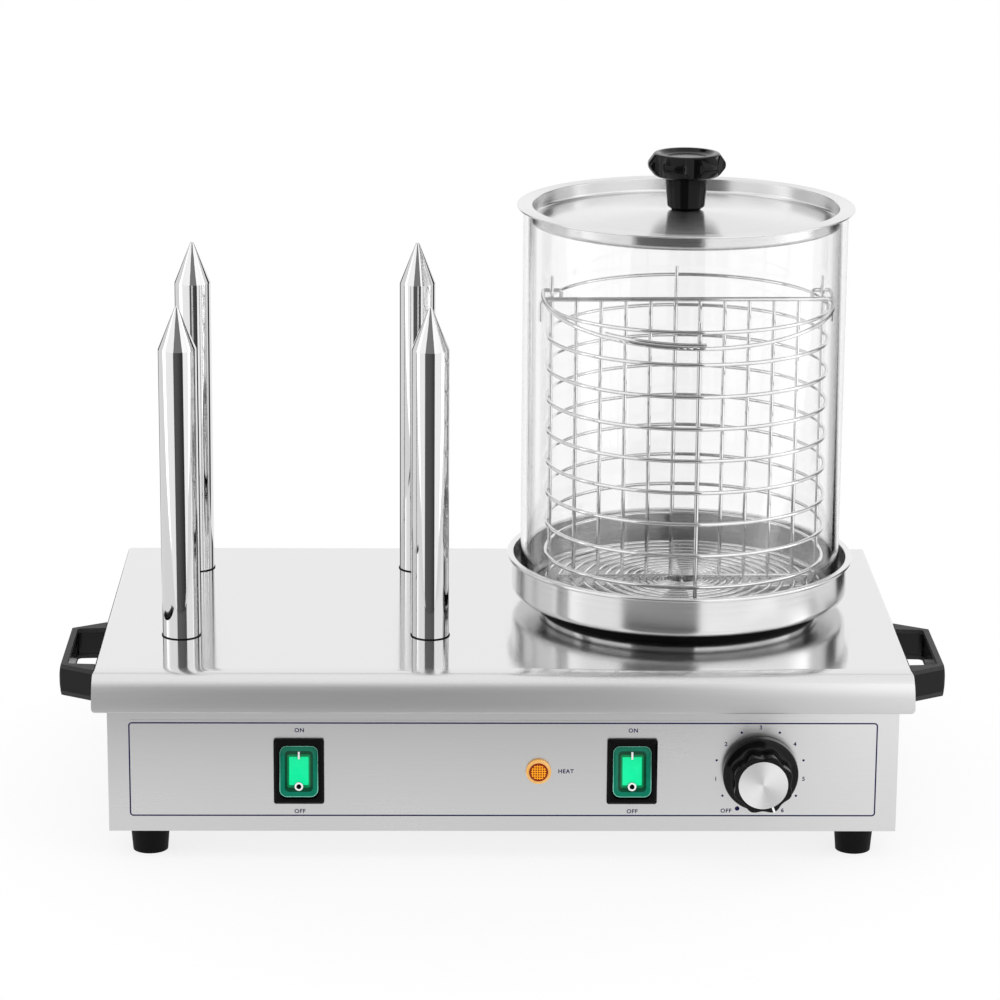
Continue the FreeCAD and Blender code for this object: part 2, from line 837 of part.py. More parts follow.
def control_label():
    """Printed sheet on the front of the casing, with an opening for each control."""
    half = casing_right - label_side_margin
    corners = [(-half, label_bottom - control_z, label_corner_radius),
               (half, label_bottom - control_z, label_corner_radius),
               (half, label_top - control_z, label_corner_radius),
               (-half, label_top - control_z, label_corner_radius)]
    label = on_panel(plan_prism(corners, 0, label_thickness), 0)
    cutters = []
    for x in (left_switch_x, right_switch_x):
        opening = rounded_block(switch_body_width + 2 * fit_gap, switch_body_height + 2 * fit_gap,
                                bezel_corner_radius, -sheet, sheet)
        cutters.append(on_panel(opening, x))
    cutters.append(on_panel(ring_hole(lamp_barrel_radius + screw_play), lamp_x))
    cutters.append(on_panel(ring_hole(bush_radius + fit_gap), dial_x))
    for x in thermostat_screws_x():
        cutters.append(on_panel(ring_hole(screw_radius + screw_play), x))
    return label.cut(cutters)


def chamfered_block(width, height, chamfer, radius, z0, z1):
    """Block whose front edge is sloped back by the chamfer."""
    lower = rounded_wire(block_corners(width, height, radius), lambda p: vector(p.x, p.y, z1 - chamfer))
    upper = rounded_wire(block_corners(width - 2 * chamfer, height - 2 * chamfer, radius),
                         lambda p: vector(p.x, p.y, z1))
    slope = Part.makeLoft([lower, upper], True, True)
    return rounded_block(width, height, radius, z0, z1 - chamfer).fuse(slope).removeSplitter()


def switch_housing():
    """Frame and body of one rocker switch, with the well and pivot holes of its rocker."""
    face = label_thickness + bezel_thickness
    body = chamfered_block(bezel_width, bezel_height, bezel_chamfer, bezel_corner_radius,
                           label_thickness, face)
    body = body.fuse(rounded_block(switch_body_width, switch_body_height, switch_body_corner,
                                   -switch_body_depth, label_thickness))
    well_depth = rocker_pivot_depth + rocker_back + rocker_height / 2 * math.sin(math.radians(rocker_tilt))
    well = rounded_block(rocker_width + 2 * fit_gap, rocker_height + 2 * rocker_swing_gap,
                         rocker_corner_radius, -well_depth - fit_gap, face + sheet)
    body = body.cut(well)
    reach = rocker_width / 2 + rocker_pin_reach + fit_gap / 2
    pivot = rod(rocker_pin_radius + running_gap, vector(-reach, 0, -rocker_pivot_depth),
                vector(reach, 0, -rocker_pivot_depth))
    return body.cut(pivot).removeSplitter()


def rocker():
    """Green rocker on its pivot pins, tipped with its upper end pressed in."""
    body = rounded_block(rocker_width, rocker_height, rocker_corner_radius, -rocker_back, rocker_front)
    dish_radius = (rocker_height ** 2 / 4 + rocker_dish ** 2) / (2 * rocker_dish)
    dish = rod(dish_radius, vector(-rocker_width, 0, rocker_front + dish_radius - rocker_dish),
               vector(rocker_width, 0, rocker_front + dish_radius - rocker_dish))
    body = body.cut(dish)
    reach = rocker_width / 2 + rocker_pin_reach
    body = body.fuse(rod(rocker_pin_radius, vector(-reach, 0, 0), vector(reach, 0, 0))).removeSplitter()
    body.rotate(ORIGIN, X_AXIS, -rocker_tilt)
    body.translate(vector(0, 0, -rocker_pivot_depth))
    return body


def switch_blades():
    """Push-on terminals behind both switches."""
    blades = []
    for x in (left_switch_x, right_switch_x):
        for y in (-blade_spacing / 2, blade_spacing / 2):
            blade = box(-blade_width / 2, blade_width / 2, y, y + blade_thickness,
                        -switch_body_depth - blade_length, -switch_body_depth)
            blades.append(on_panel(blade, x))
    return blades


def heat_lamp():
    """Barrel with its bezel, amber lens and fixing nut."""
    face = label_thickness + lamp_bezel_thickness
    barrel = turned([(0, -lamp_barrel_length, 0), (lamp_barrel_radius, -lamp_barrel_length, 0),
                     (lamp_barrel_radius, label_thickness, 0), (lamp_bezel_radius, label_thickness, 0),
                     (lamp_bezel_radius, face, lamp_edge_round), (lamp_lens_radius + thread_gap, face, 0),
                     (lamp_lens_radius + thread_gap, -lamp_lens_height, 0), (0, -lamp_lens_height, 0)])
    front = face + 2 * lens_stand
    lens = turned([(0, -lamp_lens_height, 0), (lamp_lens_radius, -lamp_lens_height, 0),
                   (lamp_lens_radius, face + lens_stand, 0), (lamp_lens_radius - lens_stand, front, 0),
                   (0, front, 0)])
    nut = moved(hexagon_nut(lamp_nut_radius, lamp_nut_height, lamp_barrel_radius + thread_gap),
                0, 0, -sheet - lamp_nut_height)
    return on_panel(barrel, lamp_x), on_panel(lens, lamp_x), on_panel(nut, lamp_x)


def thermostat():
    """Thermostat body with its threaded bush, drilled for the shaft."""
    body = box(-thermostat_width / 2, thermostat_width / 2, -thermostat_height / 2, thermostat_height / 2,
               -sheet - thermostat_depth, -sheet)
    body = body.fuse(Part.makeCylinder(bush_radius, bush_front + sheet, vector(0, 0, -sheet)))
    bore = Part.makeCylinder(shaft_radius + running_gap, shaft_inner_length + bush_front + sheet,
                             vector(0, 0, -shaft_inner_length))
    body = body.cut(bore)
    for shift in (-1, 1):
        hole = Part.makeCylinder(screw_radius, thermostat_screw_length,
                                 vector(shift * thermostat_screw_spacing / 2, 0,
                                        -sheet - thermostat_screw_length))
        body = body.cut(hole)
    return on_panel(body.removeSplitter(), dial_x)


def thermostat_screws():
    fixing = screw(thermostat_screw_length + label_thickness)
    fixing.rotate(ORIGIN, X_AXIS, 180)
    fixing.translate(vector(0, 0, label_thickness))
    return [on_panel(fixing, x) for x in thermostat_screws_x()]


def control_knob():
    """Skirted knob with a lobed grip, hollow behind, bored for the shaft and recessed for its cap."""
    rear = label_thickness + knob_gap
    roof = rear + knob_cavity_depth
    body = turned([(0, rear, 0), (knob_skirt_radius, rear, knob_edge_round),
                   (knob_skirt_radius, knob_skirt_front, knob_edge_round),
                   (knob_waist_radius, knob_waist_front, 0), (0, knob_waist_front, 0)])
    grip_length = knob_front - knob_skirt_front
    grip = Part.makeCylinder(knob_lobe_radius, grip_length, vector(0, 0, knob_skirt_front))
    half_period = math.pi / knob_lobes
    chord = knob_lobe_radius * math.sin(half_period)
    rise = knob_lobe_radius * math.cos(half_period) - knob_dip_radius
    flute_radius = (chord ** 2 + rise ** 2) / (2 * rise) if rise > 0 else chord
    cutters = []
    for index in range(knob_lobes):
        angle = math.radians(90 - knob_pointer_angle) + (2 * index + 1) * half_period
        reach = knob_dip_radius + flute_radius
        cutters.append(upright_rod(flute_radius, reach * math.cos(angle), reach * math.sin(angle),
                                   0, 2 * knob_front))
    body = body.fuse(grip.cut(cutters))
    cavity = turned([(knob_hub_radius, 0, 0), (knob_cavity_radius, 0, 0), (knob_cavity_radius, roof, 0),
                     (knob_hub_radius, roof, 0)])
    bush_end = rear + bush_front
    socket = Part.makeCylinder(shaft_radius + thread_gap, knob_socket_depth, vector(0, 0, bush_end))
    bush_room = Part.makeCylinder(bush_radius + fit_gap, bush_end)
    cap_seat = Part.makeCylinder(knob_cap_radius + thread_gap, 2 * knob_cap_thickness,
                                 vector(0, 0, knob_front - knob_cap_thickness))
    body = body.cut([cavity, socket, bush_room, cap_seat])
    return on_panel(body, dial_x)


def knob_cap():
    seat = knob_front - knob_cap_thickness
    cap = Part.makeCylinder(knob_cap_radius, knob_cap_thickness, vector(0, 0, seat))
    return on_panel(cap, dial_x)


def thermostat_shaft():
    rear = label_thickness + knob_gap
    front = rear + bush_front + knob_socket_depth
    shaft = Part.makeCylinder(shaft_radius, front + shaft_inner_length - 2 * running_gap,
                              vector(0, 0, -shaft_inner_length + running_gap))
    return on_panel(shaft, dial_x)


def cable_gland():
    """Gland in the rear wall and the nut that holds it inside."""
    bore = gland_bore_radius
    inner_end = -gland_thread_length - sheet
    body = turned([(bore, inner_end, 0), (gland_thread_radius, inner_end, 0), (gland_thread_radius, 0, 0),
                   (gland_flange_radius, 0, 0), (gland_flange_radius, gland_flange, 0),
                   (gland_dome_radius, gland_flange, 0), (gland_dome_radius, gland_reach, gland_dome_round),
                   (bore, gland_reach, 0)])
    nut = moved(hexagon_nut(gland_flange_radius, gland_nut_height, gland_thread_radius + thread_gap),
                0, 0, -sheet - gland_nut_height)
    place = (gland_x, casing_back, casing_base + gland_height)
    return facing(body, -90, X_AXIS, *place), facing(nut, -90, X_AXIS, *place)


def terminal_block():
    """Block of mains terminals on the bottom cover, and its two screws."""
    x, y = block_place()
    body = box(x - block_width / 2, x + block_width / 2, y - block_depth / 2, y + block_depth / 2,
               cover_top, cover_top + block_height)
    screws = []
    for shift in (-1, 1):
        screw_x = x + shift * block_screw_spacing / 2
        body = body.cut(upright_rod(screw_radius + screw_play, screw_x, y, 0, plate_top))
        fixing = screw(block_height + 2 * sheet)
        screws.append(facing(fixing, 180, X_AXIS, screw_x, y, cover_top + block_height))
    return body, screws


def earth_stud():
    x, y = earth_place()
    stud = upright_rod(earth_stud_radius, x, y, casing_base, cover_top + earth_stud_height)
    nut = hexagon_nut(2 * earth_stud_radius, nut_height, earth_stud_radius + thread_gap)
    return stud, moved(nut, x, y, cover_top)


def internal_leads():
    """Insulated leads from the terminal block to the switches, the lamp and the thermostat."""
    block_x, block_y = block_place()
    front = block_y - block_depth / 2
    run = cover_top + lead_height
    switch_end = casing_front + switch_body_depth + blade_length + weld_gap
    ends = [(left_switch_x, switch_end, control_z - blade_spacing / 2),
            (lamp_x, casing_front + lamp_barrel_length + weld_gap, control_z),
            (right_switch_x, switch_end, control_z - blade_spacing / 2),
            (dial_x, casing_front + sheet + thermostat_depth + weld_gap, control_z)]
    leads = []
    for index, (x, y, z) in enumerate(ends):
        start_x = block_x + (index - (len(ends) - 1) / 2) * lead_pitch
        turn_y = front - lead_first_run - index * lead_pitch
        rise_y = y + 2 * lead_first_run
        points = [vector(start_x, front - weld_gap, run), vector(start_x, turn_y, run),
                  vector(x, turn_y, run), vector(x, rise_y, run), vector(x, rise_y, z), vector(x, y, z)]
        leads.append(bent_wire(points, 2 * lead_radius, lead_radius))
    return leads


def basket_sizes():
    """Radii and heights that the wires of the basket share, about its own axis."""
    ring_radius = glass_inner - basket_gap - wire_radius
    post_radius = ring_radius - 2 * wire_radius - weld_gap
    lower_bar = pan_floor + fit_gap + wire_radius
    upper_bar = lower_bar + 2 * wire_radius + weld_gap
    first_ring = upper_bar + 2 * wire_radius
    top_ring = first_ring + (basket_ring_count - 1) * basket_ring_pitch
    return ring_radius, post_radius, lower_bar, upper_bar, first_ring, top_ring


def bail_height():
    """Height of the bail's pivots, over the top ring."""
    return basket_sizes()[5] + bail_over_ring


def eye_sizes():
    """Mean radius of a bail eye, and how far behind its post the pivot lies."""
    mean = bail_wire_radius + fit_gap + eye_wire_radius
    return mean, wire_radius + mean + eye_wire_radius - weld_sink


def basket_place(shape):
    shape.rotate(ORIGIN, Z_AXIS, basket_turn)
    shape.translate(vector(steamer_x + basket_offset, steamer_y, 0))
    return shape


def floor_ring_radii():
    post_radius = basket_sizes()[1]
    radii = []
    radius = floor_ring_first
    while radius < post_radius - 2 * wire_radius:
        radii.append(radius)
        step = len(radii)
        radius = floor_ring_first + step * floor_ring_pitch + step ** 2 * floor_ring_growth
    return radii


def basket_rings():
    """Side rings, welded round the posts of the frames."""
    ring_radius, first_ring = basket_sizes()[0], basket_sizes()[4]
    heights = [first_ring + index * basket_ring_pitch for index in range(basket_ring_count)]
    return [basket_place(Part.makeTorus(ring_radius, wire_radius, vector(0, 0, z))) for z in heights]


def basket_frames():
    """Two bent frames, whose feet cross on the pan floor, and the bail's eyes behind the side posts."""
    post_radius, lower_bar, upper_bar = basket_sizes()[1:4]
    eye_mean, eye_back = eye_sizes()
    side_top = bail_height() + post_over_bail
    rear_top = side_top - rear_post_drop
    side_frame = bent_wire([vector(-post_radius, 0, side_top), vector(-post_radius, 0, lower_bar),
                            vector(post_radius, 0, lower_bar), vector(post_radius, 0, side_top)],
                           post_bend, wire_radius)
    long_frame = bent_wire([vector(0, -post_radius, rear_top), vector(0, -post_radius, upper_bar),
                            vector(0, post_radius, upper_bar), vector(0, post_radius, rear_top)],
                           post_bend, wire_radius)
    eyes = []
    for side in (-1, 1):
        middle = vector(side * post_radius, eye_back, bail_height())
        eyes.append(Part.makeTorus(eye_mean, eye_wire_radius, middle, X_AXIS))
    return basket_place(side_frame.fuse(eyes).removeSplitter()), basket_place(long_frame)


def basket_floor():
    """Concentric wires that lie on the crossed feet of the cage."""
    height = basket_sizes()[4]
    return [basket_place(Part.makeTorus(radius, wire_radius, vector(0, 0, height)))
            for radius in floor_ring_radii()]


def basket_divider():
    """Comb of uprights under a rod, whose ends lie over the top ring and hook down outside it."""
    ring_radius, post_radius, lower_bar, _, first_ring, top_ring = basket_sizes()
    rod_z = top_ring + wire_radius + divider_rod_radius + weld_gap
    front = -wire_radius - divider_rod_radius - weld_gap
    reach = ring_radius + divider_hook_reach
    comb = bent_wire([vector(-reach, front, rod_z - divider_hook_drop), vector(-reach, front, rod_z),
                      vector(reach, front, rod_z), vector(reach, front, rod_z - divider_hook_drop)],
                     divider_hook_bend, divider_rod_radius)
    foot_z = first_ring + 2 * wire_radius + weld_gap
    line = front + divider_rod_radius + wire_radius - weld_sink
    span = post_radius - 2 * wire_radius - divider_foot_gap
    bar = rod(wire_radius, vector(-span, line, foot_z), vector(span, line, foot_z))
    pieces = [bar]
    pitch = 2 * post_radius / (divider_count + 1)
    for index in range(divider_count):
        x = (index - (divider_count - 1) / 2) * pitch
        pieces.append(upright_rod(wire_radius, x, line, foot_z, rod_z + divider_rod_radius / 2))
    return basket_place(comb.fuse(pieces).removeSplitter())


def basket_bail():
    """Carrying bow: its ends pass through the eyes and turn down inside them, and its front is lapped."""
    ring_radius, post_radius = basket_sizes()[:2]
    radius = ring_radius + wire_radius + bail_gap + bail_wire_radius
    back = eye_sizes()[1]
    inner = post_radius - bail_pin_reach

    def bow(x, height=0.0):
        return vector(x, -back - math.sqrt(radius ** 2 - x ** 2), height)

    front = bow(0)
    leg_y = -2 * bail_bend
    leg_x = math.sqrt(radius ** 2 - (leg_y + back) ** 2)
    bail = swept([Part.Arc(vector(-leg_x, leg_y, 0), front, vector(leg_x, leg_y, 0)).toShape()],
                 vector(-leg_x, leg_y, 0), vector(leg_y + back, leg_x, 0), bail_wire_radius)
    for hand in (-1, 1):
        end = vector(hand * leg_x, leg_y, 0)
        hook = bent_wire([end, vector(hand * radius, 0, 0), vector(hand * inner, 0, 0),
                          vector(hand * inner, 0, -bail_hook_drop)], bail_hook_bend, bail_wire_radius)
        bail = bail.fuse([hook, Part.makeSphere(bail_wire_radius, end)])
    above = 2 * bail_wire_radius - weld_sink
    first, last = bow(bail_lap_start, above), bow(bail_lap_end, above)
    lap = swept([Part.Arc(first, bow((bail_lap_start + bail_lap_end) / 2, above), last).toShape()],
                first, vector(-first.y - back, first.x, 0), bail_wire_radius)
    bail = bail.fuse(lap).removeSplitter()
    bail.rotate(ORIGIN, X_AXIS, bail_droop)
    bail.translate(vector(0, back, bail_height()))
    return basket_place(bail)


def glass_cylinder():
    return ring(glass_inner, glass_radius, pan_floor, glass_top, steamer_x, steamer_y)


def lid_apex():
    """Height of the top of the lid's domed floor."""
    return glass_top + lid_sheet - lid_recess + lid_dome_rise


def lid_dome():
    """Radius where the dome meets the flat floor of the lid, and the radius of its sphere."""
    edge = glass_inner - lid_plug_gap - lid_sheet - lid_floor_margin
    return edge, (edge ** 2 + lid_dome_rise ** 2) / (2 * lid_dome_rise)


def lid():
    """Lid that rests on the glass: lipped flange, plug wall and a gently domed floor."""
    wall = glass_inner - lid_plug_gap
    well = wall - lid_sheet
    rim = glass_radius + lid_overhang
    floor = lid_sheet - lid_recess
    apex = floor + lid_dome_rise
    edge, sphere = lid_dome()
    tangent = sphere * math.tan(math.asin(edge / sphere) / 2)
    under = floor - lid_sheet
    round_in = lid_corner_radius
    round_out = lid_corner_radius + lid_sheet
    corners = [(0, apex, 0), (tangent, apex, sphere), (edge, floor, 0), (well, floor, round_in),
               (well, lid_sheet, lid_sheet / 2), (rim, lid_sheet, lid_sheet), (rim, -lid_lip, 0),
               (rim - lid_sheet, -lid_lip, 0), (rim - lid_sheet, 0, 0), (wall, 0, 0),
               (wall, under, round_out), (edge, under, 0), (tangent, apex - lid_sheet, sphere),
               (0, apex - lid_sheet, 0)]
    body = turned(corners, steamer_x, steamer_y, glass_top)
    screw_hole = upright_rod(lid_screw_radius + screw_play, steamer_x, steamer_y, pan_base, 2 * glass_top)
    return body.cut(screw_hole)


def lid_knob():
    """Moulded knob with a tapered stem, six scallops round its head and a dished top."""
    top = lid_knob_height
    body = turned([(0, 0, 0), (lid_knob_foot_radius, 0, 0), (lid_knob_stem_radius, lid_knob_chamfer, 0),
                   (lid_knob_neck_radius, lid_knob_neck_height, 0),
                   (lid_knob_radius - lid_knob_scallop_depth, lid_knob_neck_height + lid_knob_dish, 0),
                   (lid_knob_radius, lid_knob_belly, lid_knob_dish),
                   (lid_knob_crown_radius + lid_knob_dish, top - lid_knob_crown_fall, 0),
                   (lid_knob_crown_radius, top, 0),
                   (lid_knob_crown_radius - 2 * lid_knob_dish, top - lid_knob_dish, lid_knob_dish),
                   (0, top - lid_knob_dish, 0)])
    reach = lid_knob_radius + lid_knob_scallop_radius - lid_knob_scallop_depth
    cutters = []
    for index in range(lid_knob_scallops):
        angle = math.radians(-90 + lid_knob_scallop_turn + index * 360 / lid_knob_scallops)
        x, y = reach * math.cos(angle), reach * math.sin(angle)
        cutters.append(upright_rod(lid_knob_scallop_radius, x, y, 0, 2 * top))
    cutters.append(upright_rod(lid_screw_radius, 0, 0, 0, lid_screw_depth))
    return moved(body.cut(cutters), steamer_x, steamer_y, lid_apex())


def lid_fixings():
    """Screw up into the knob, and the washer under the lid."""
    under = lid_apex() - lid_sheet - washer_radius ** 2 / (2 * lid_dome()[1]) - weld_gap
    washer = ring(lid_screw_radius + screw_play, washer_radius, under - washer_thickness, under,
                  steamer_x, steamer_y)
    length = lid_screw_depth + lid_sheet + washer_thickness - fit_gap
    fixing = screw(length, lid_screw_radius, lid_screw_head_radius, lid_screw_head_height)
    return moved(fixing, steamer_x, steamer_y, under - washer_thickness), washer


os.makedirs("parts", exist_ok=True)
save("base_casing", base_casing())
save("bottom_cover", bottom_cover())
save("top_plate", top_plate())
cover_screw = screw(cover_screw_length, head_height=cover_screw_head_height)
save("cover_screws", *[moved(cover_screw, x, y, casing_base) for x, y in cover_screw_places()])
for corner, x, y in foot_places():
    save("foot_" + corner, foot(x, y))
foot_screw = screw(foot_height - foot_bore_depth + sheet + nut_height)
save("foot_screws", *[moved(foot_screw, x, y, foot_bore_depth) for _, x, y in foot_places()])
save("foot_nuts", *[moved(hexagon_nut(nut_radius, nut_height, screw_radius), x, y, cover_top)
                    for _, x, y in foot_places()])

left_handle = handle()
save("handle_right", left_handle.mirror(ORIGIN, X_AXIS))
save("handle_left", left_handle)
handle_screws, handle_spacers = handle_fasteners()
save("handle_screws", *handle_screws)
save("handle_spacers", *handle_spacers)

for place, x, y, height in spike_places():
    save("spike_" + place, spike(x, y, height))
spike_collars, spike_nuts, heater_cartridges = spike_fittings()
save("spike_collars", *spike_collars)
save("spike_nuts", *spike_nuts)
save("heater_cartridges", *heater_cartridges)

save("water_pan", water_pan())
save("pan_seat_ring", pan_seat_ring())
save("pan_heating_element", pan_element())
pan_stud, pan_washer, pan_nut = pan_fixings()
save("pan_stud", pan_stud)
save("pan_nut_and_washer", pan_washer, pan_nut)
save("thermal_cutout", thermal_cutout())
sensing_bulb, capillary = sensing_line()
save("sensing_bulb", sensing_bulb)
save("capillary_tube", capillary)

save("control_label", control_label())
for hand, x in (("left", left_switch_x), ("right", right_switch_x)):
    save("switch_housing_" + hand, on_panel(switch_housing(), x))
    save("rocker_" + hand, on_panel(rocker(), x))
save("switch_blades", *switch_blades())
lamp_barrel, lamp_lens, lamp_nut = heat_lamp()
save("heat_lamp_barrel", lamp_barrel)
save("heat_lamp_lens", lamp_lens)
save("heat_lamp_nut", lamp_nut)
save("thermostat_body", thermostat())
save("thermostat_screws", *thermostat_screws())
save("thermostat_shaft", thermostat_shaft())
save("control_knob", control_knob())
save("control_knob_cap", knob_cap())

gland_body, gland_nut = cable_gland()
save("cable_gland", gland_body)
save("cable_gland_nut", gland_nut)
block_body, block_screws = terminal_block()
save("terminal_block", block_body)
save("terminal_block_screws", *block_screws)
stud_body, stud_nut = earth_stud()
save("earth_stud", stud_body)
save("earth_stud_nut", stud_nut)
save("internal_leads", *internal_leads())

save("glass_cylinder", glass_cylinder())
save("basket_rings", *basket_rings())
save("basket_frames", *basket_frames())
save("basket_floor", *basket_floor())
save("basket_divider", basket_divider())
save("basket_bail", basket_bail())
save("lid", lid())
save("lid_knob", lid_knob())
lid_screw, lid_washer = lid_fixings()
save("lid_screw_and_washer", lid_screw, lid_washer)
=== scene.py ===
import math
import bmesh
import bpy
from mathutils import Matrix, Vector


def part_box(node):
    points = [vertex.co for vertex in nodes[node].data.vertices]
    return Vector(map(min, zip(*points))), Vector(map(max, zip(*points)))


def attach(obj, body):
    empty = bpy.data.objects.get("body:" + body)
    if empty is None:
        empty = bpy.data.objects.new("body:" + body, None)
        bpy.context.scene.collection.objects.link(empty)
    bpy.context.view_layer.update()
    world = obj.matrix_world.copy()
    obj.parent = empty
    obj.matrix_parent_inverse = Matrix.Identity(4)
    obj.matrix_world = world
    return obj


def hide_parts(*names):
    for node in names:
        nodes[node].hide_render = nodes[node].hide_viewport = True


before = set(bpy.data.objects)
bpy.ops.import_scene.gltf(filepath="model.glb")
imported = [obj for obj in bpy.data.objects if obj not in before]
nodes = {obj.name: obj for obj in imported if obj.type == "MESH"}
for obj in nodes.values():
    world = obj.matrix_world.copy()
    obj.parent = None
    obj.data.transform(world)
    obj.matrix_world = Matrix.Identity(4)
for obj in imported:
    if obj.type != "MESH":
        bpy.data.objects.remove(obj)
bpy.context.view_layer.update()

# %% [markdown]
# # A hot dog toaster
# The object is a counter-top machine of folded stainless steel. Four polished spikes warm the rolls on
# its left, and a glass cylinder over a water pan steams the sausages on its right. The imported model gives
# every piece its place, so each step below asks it for a box and dresses what stands there. All sizes
# are written in millimetres and turned to metres by one value.

MM = 0.001


def low(node):
    """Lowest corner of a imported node's box, in millimetres."""
    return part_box(node)[0] / MM


def high(node):
    """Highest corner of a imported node's box, in millimetres."""
    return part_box(node)[1] / MM


def middle(node):
    """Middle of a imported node's box, in millimetres."""
    return (low(node) + high(node)) / 2


def half_width(node):
    """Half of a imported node's reach from side to side, in millimetres."""
    return (high(node).x - low(node).x) / 2


# %% [markdown]
# ## Camera
# The photograph was taken with a long lens from about two and a quarter metres, looking down by fifteen
# degrees. A camera can be placed by hand, but this one was solved from points whose sizes are known, so
# its turn, tilt and roll are written as angles and built into a matrix.

# %% Camera
CAMERA_PLACE = Vector((-40.7, -2237.4, 788.7)) * MM
YAW, PITCH, ROLL = math.radians(1.0233), math.radians(-15.06), math.radians(0.3947)
FOCAL_PIXELS = 3731.18
FRAME_PIXELS = 1000
SENSOR_WIDTH = 36

ahead = Vector((math.sin(YAW) * math.cos(PITCH), math.cos(YAW) * math.cos(PITCH), math.sin(PITCH)))
level = Vector((math.cos(YAW), -math.sin(YAW), 0))
upward = level.cross(ahead)
right = level * math.cos(ROLL) + upward * math.sin(ROLL)
top = upward * math.cos(ROLL) - level * math.sin(ROLL)

camera_data = bpy.data.cameras.new("studio_camera")
camera_data.sensor_width = SENSOR_WIDTH
camera_data.lens = FOCAL_PIXELS / FRAME_PIXELS * SENSOR_WIDTH
camera_data.clip_end = 20
camera = bpy.data.objects.new("studio_camera", camera_data)
camera.matrix_world = Matrix.Translation(CAMERA_PLACE) @ Matrix((right, top, -ahead)).transposed().to_4x4()
bpy.context.scene.collection.objects.link(camera)
bpy.context.scene.camera = camera
print("lens, mm:", round(camera_data.lens, 2))

# %% [markdown]
# ## Colours and nodes
# A colour is picked as an sRGB hex value, the way a paint or plastic chart gives it, while the renderer
# counts light in linear steps. One function turns the first into the second. A second small function
# adds a shader node, sets it and links it, so that a finish reads as a list of its parts.

# %% Helpers for finishes
def linear(hex_colour):
    """Linear RGBA of an sRGB hex colour."""
    channels = [int(hex_colour[i:i + 2], 16) / 255 for i in (1, 3, 5)]
    return tuple(c / 12.92 if c <= 0.04045 else ((c + 0.055) / 1.055) ** 2.4 for c in channels) + (1.0,)


def add_node(tree, kind, inputs=None, **settings):
    """Adds one node; an input given as a socket is linked, and any other value is set."""
    node = tree.nodes.new("ShaderNode" + kind)
    for name, value in settings.items():
        setattr(node, name, value)
    for name, value in (inputs or {}).items():
        if isinstance(value, bpy.types.NodeSocket):
            tree.links.new(value, node.inputs[name])
        else:
            node.inputs[name].default_value = value
    return node


def new_finish(name, **surface):
    """A finish with one surface shader, whose sockets are named by the keywords."""
    finish = bpy.data.materials.new(name)
    finish.use_nodes = True
    tree = finish.node_tree
    tree.nodes.clear()
    sockets = {key.replace("_", " "): value for key, value in surface.items()}
    shader = add_node(tree, "BsdfPrincipled", sockets)
    add_node(tree, "OutputMaterial", {"Surface": shader.outputs["BSDF"]})
    return finish, tree, shader


def ramp(tree, source, *stops):
    """Colour ramp through (position, hex colour) stops."""
    node = add_node(tree, "ValToRGB", {"Fac": source})
    points = node.color_ramp.elements
    while len(points) < len(stops):
        points.new(0.5)
    for point, (position, colour) in zip(points, stops):
        point.position = position
        point.color = linear(colour)
    return node.outputs["Color"]


def split_place(tree, space="Object"):
    """X, Y and Z of the shaded point, as sockets that are picked by letter."""
    place = add_node(tree, "TexCoord").outputs[space]
    return add_node(tree, "SeparateXYZ", {"Vector": place}).outputs


def grain(tree, lengths, detail=3.0):
    """Noise whose patches are as long, in millimetres, as lengths says along X, Y and Z."""
    place = add_node(tree, "TexCoord").outputs["Object"]
    scale = add_node(tree, "Mapping", {"Vector": place, "Scale": [1 / (length * MM) for length in lengths]})
    noise = add_node(tree, "TexNoise", {"Vector": scale.outputs["Vector"], "Scale": 1.0, "Detail": detail})
    return noise.outputs["Fac"]


def between(tree, source, start_value, end_value, start=0.0, end=1.0):
    """Maps a value that runs from start to end on to the range between two values."""
    node = add_node(tree, "MapRange", {"Value": source, "From Min": start, "From Max": end,
                                       "To Min": start_value, "To Max": end_value})
    return node.outputs["Result"]


def maths(tree, operation, *values):
    """One arithmetic step on values or sockets."""
    return add_node(tree, "Math", dict(enumerate(values)), operation=operation).outputs[0]


def tinted(tree, share, first, second):
    """Mix of two colours, each a hex value or a socket."""
    pick = [linear(c) if isinstance(c, str) else c for c in (first, second)]
    return add_node(tree, "Mix", {"Factor": share, 6: pick[0], 7: pick[1]}, data_type="RGBA").outputs[2]


def relief(tree, shader, height, depth):
    """Gives the shader a relief as deep, in millimetres, as depth."""
    bump = add_node(tree, "Bump", {"Height": height, "Distance": depth * MM, "Strength": 1.0})
    tree.links.new(bump.outputs["Normal"], shader.inputs["Normal"])


print("mid grey in linear light:", round(linear("#808080")[0], 3))

# %% [markdown]
# ## Studio
# Polished steel is only as good as what it reflects. The toaster stands on a white table, with a white
# sweep behind it and two tall soft panels at the front, left and right of the lens. The camera looks down
# at it, so an upright mirror looks down too: past the table's front edge and between the panels it sees
# the dark room, and that draws the dark band down each spike and across the pan. Two narrow black flags
# beside the sweep draw the thin dark lines at the edges of everything round. Area lamps make the panels.
# The world makes the rest, and only rays that come straight from the lens, or through glass without
# meeting metal first, see it as plain white.

# %% World
FILL_STRENGTH = 0.6
BLACK_CARDS = ((0.380, "#EAEAEA"), (0.386, "#202020"), (0.422, "#202020"), (0.428, "#FFFFFF"),
               (0.612, "#FFFFFF"), (0.618, "#202020"), (0.664, "#202020"), (0.670, "#EAEAEA"))
CEILING_GREY, CEILING_START, CEILING_END = "#8A8A8A", 0.8, 0.9
FRONT_START, FRONT_RISE_START, FRONT_RISE_END = -0.3, 0.15, 0.6


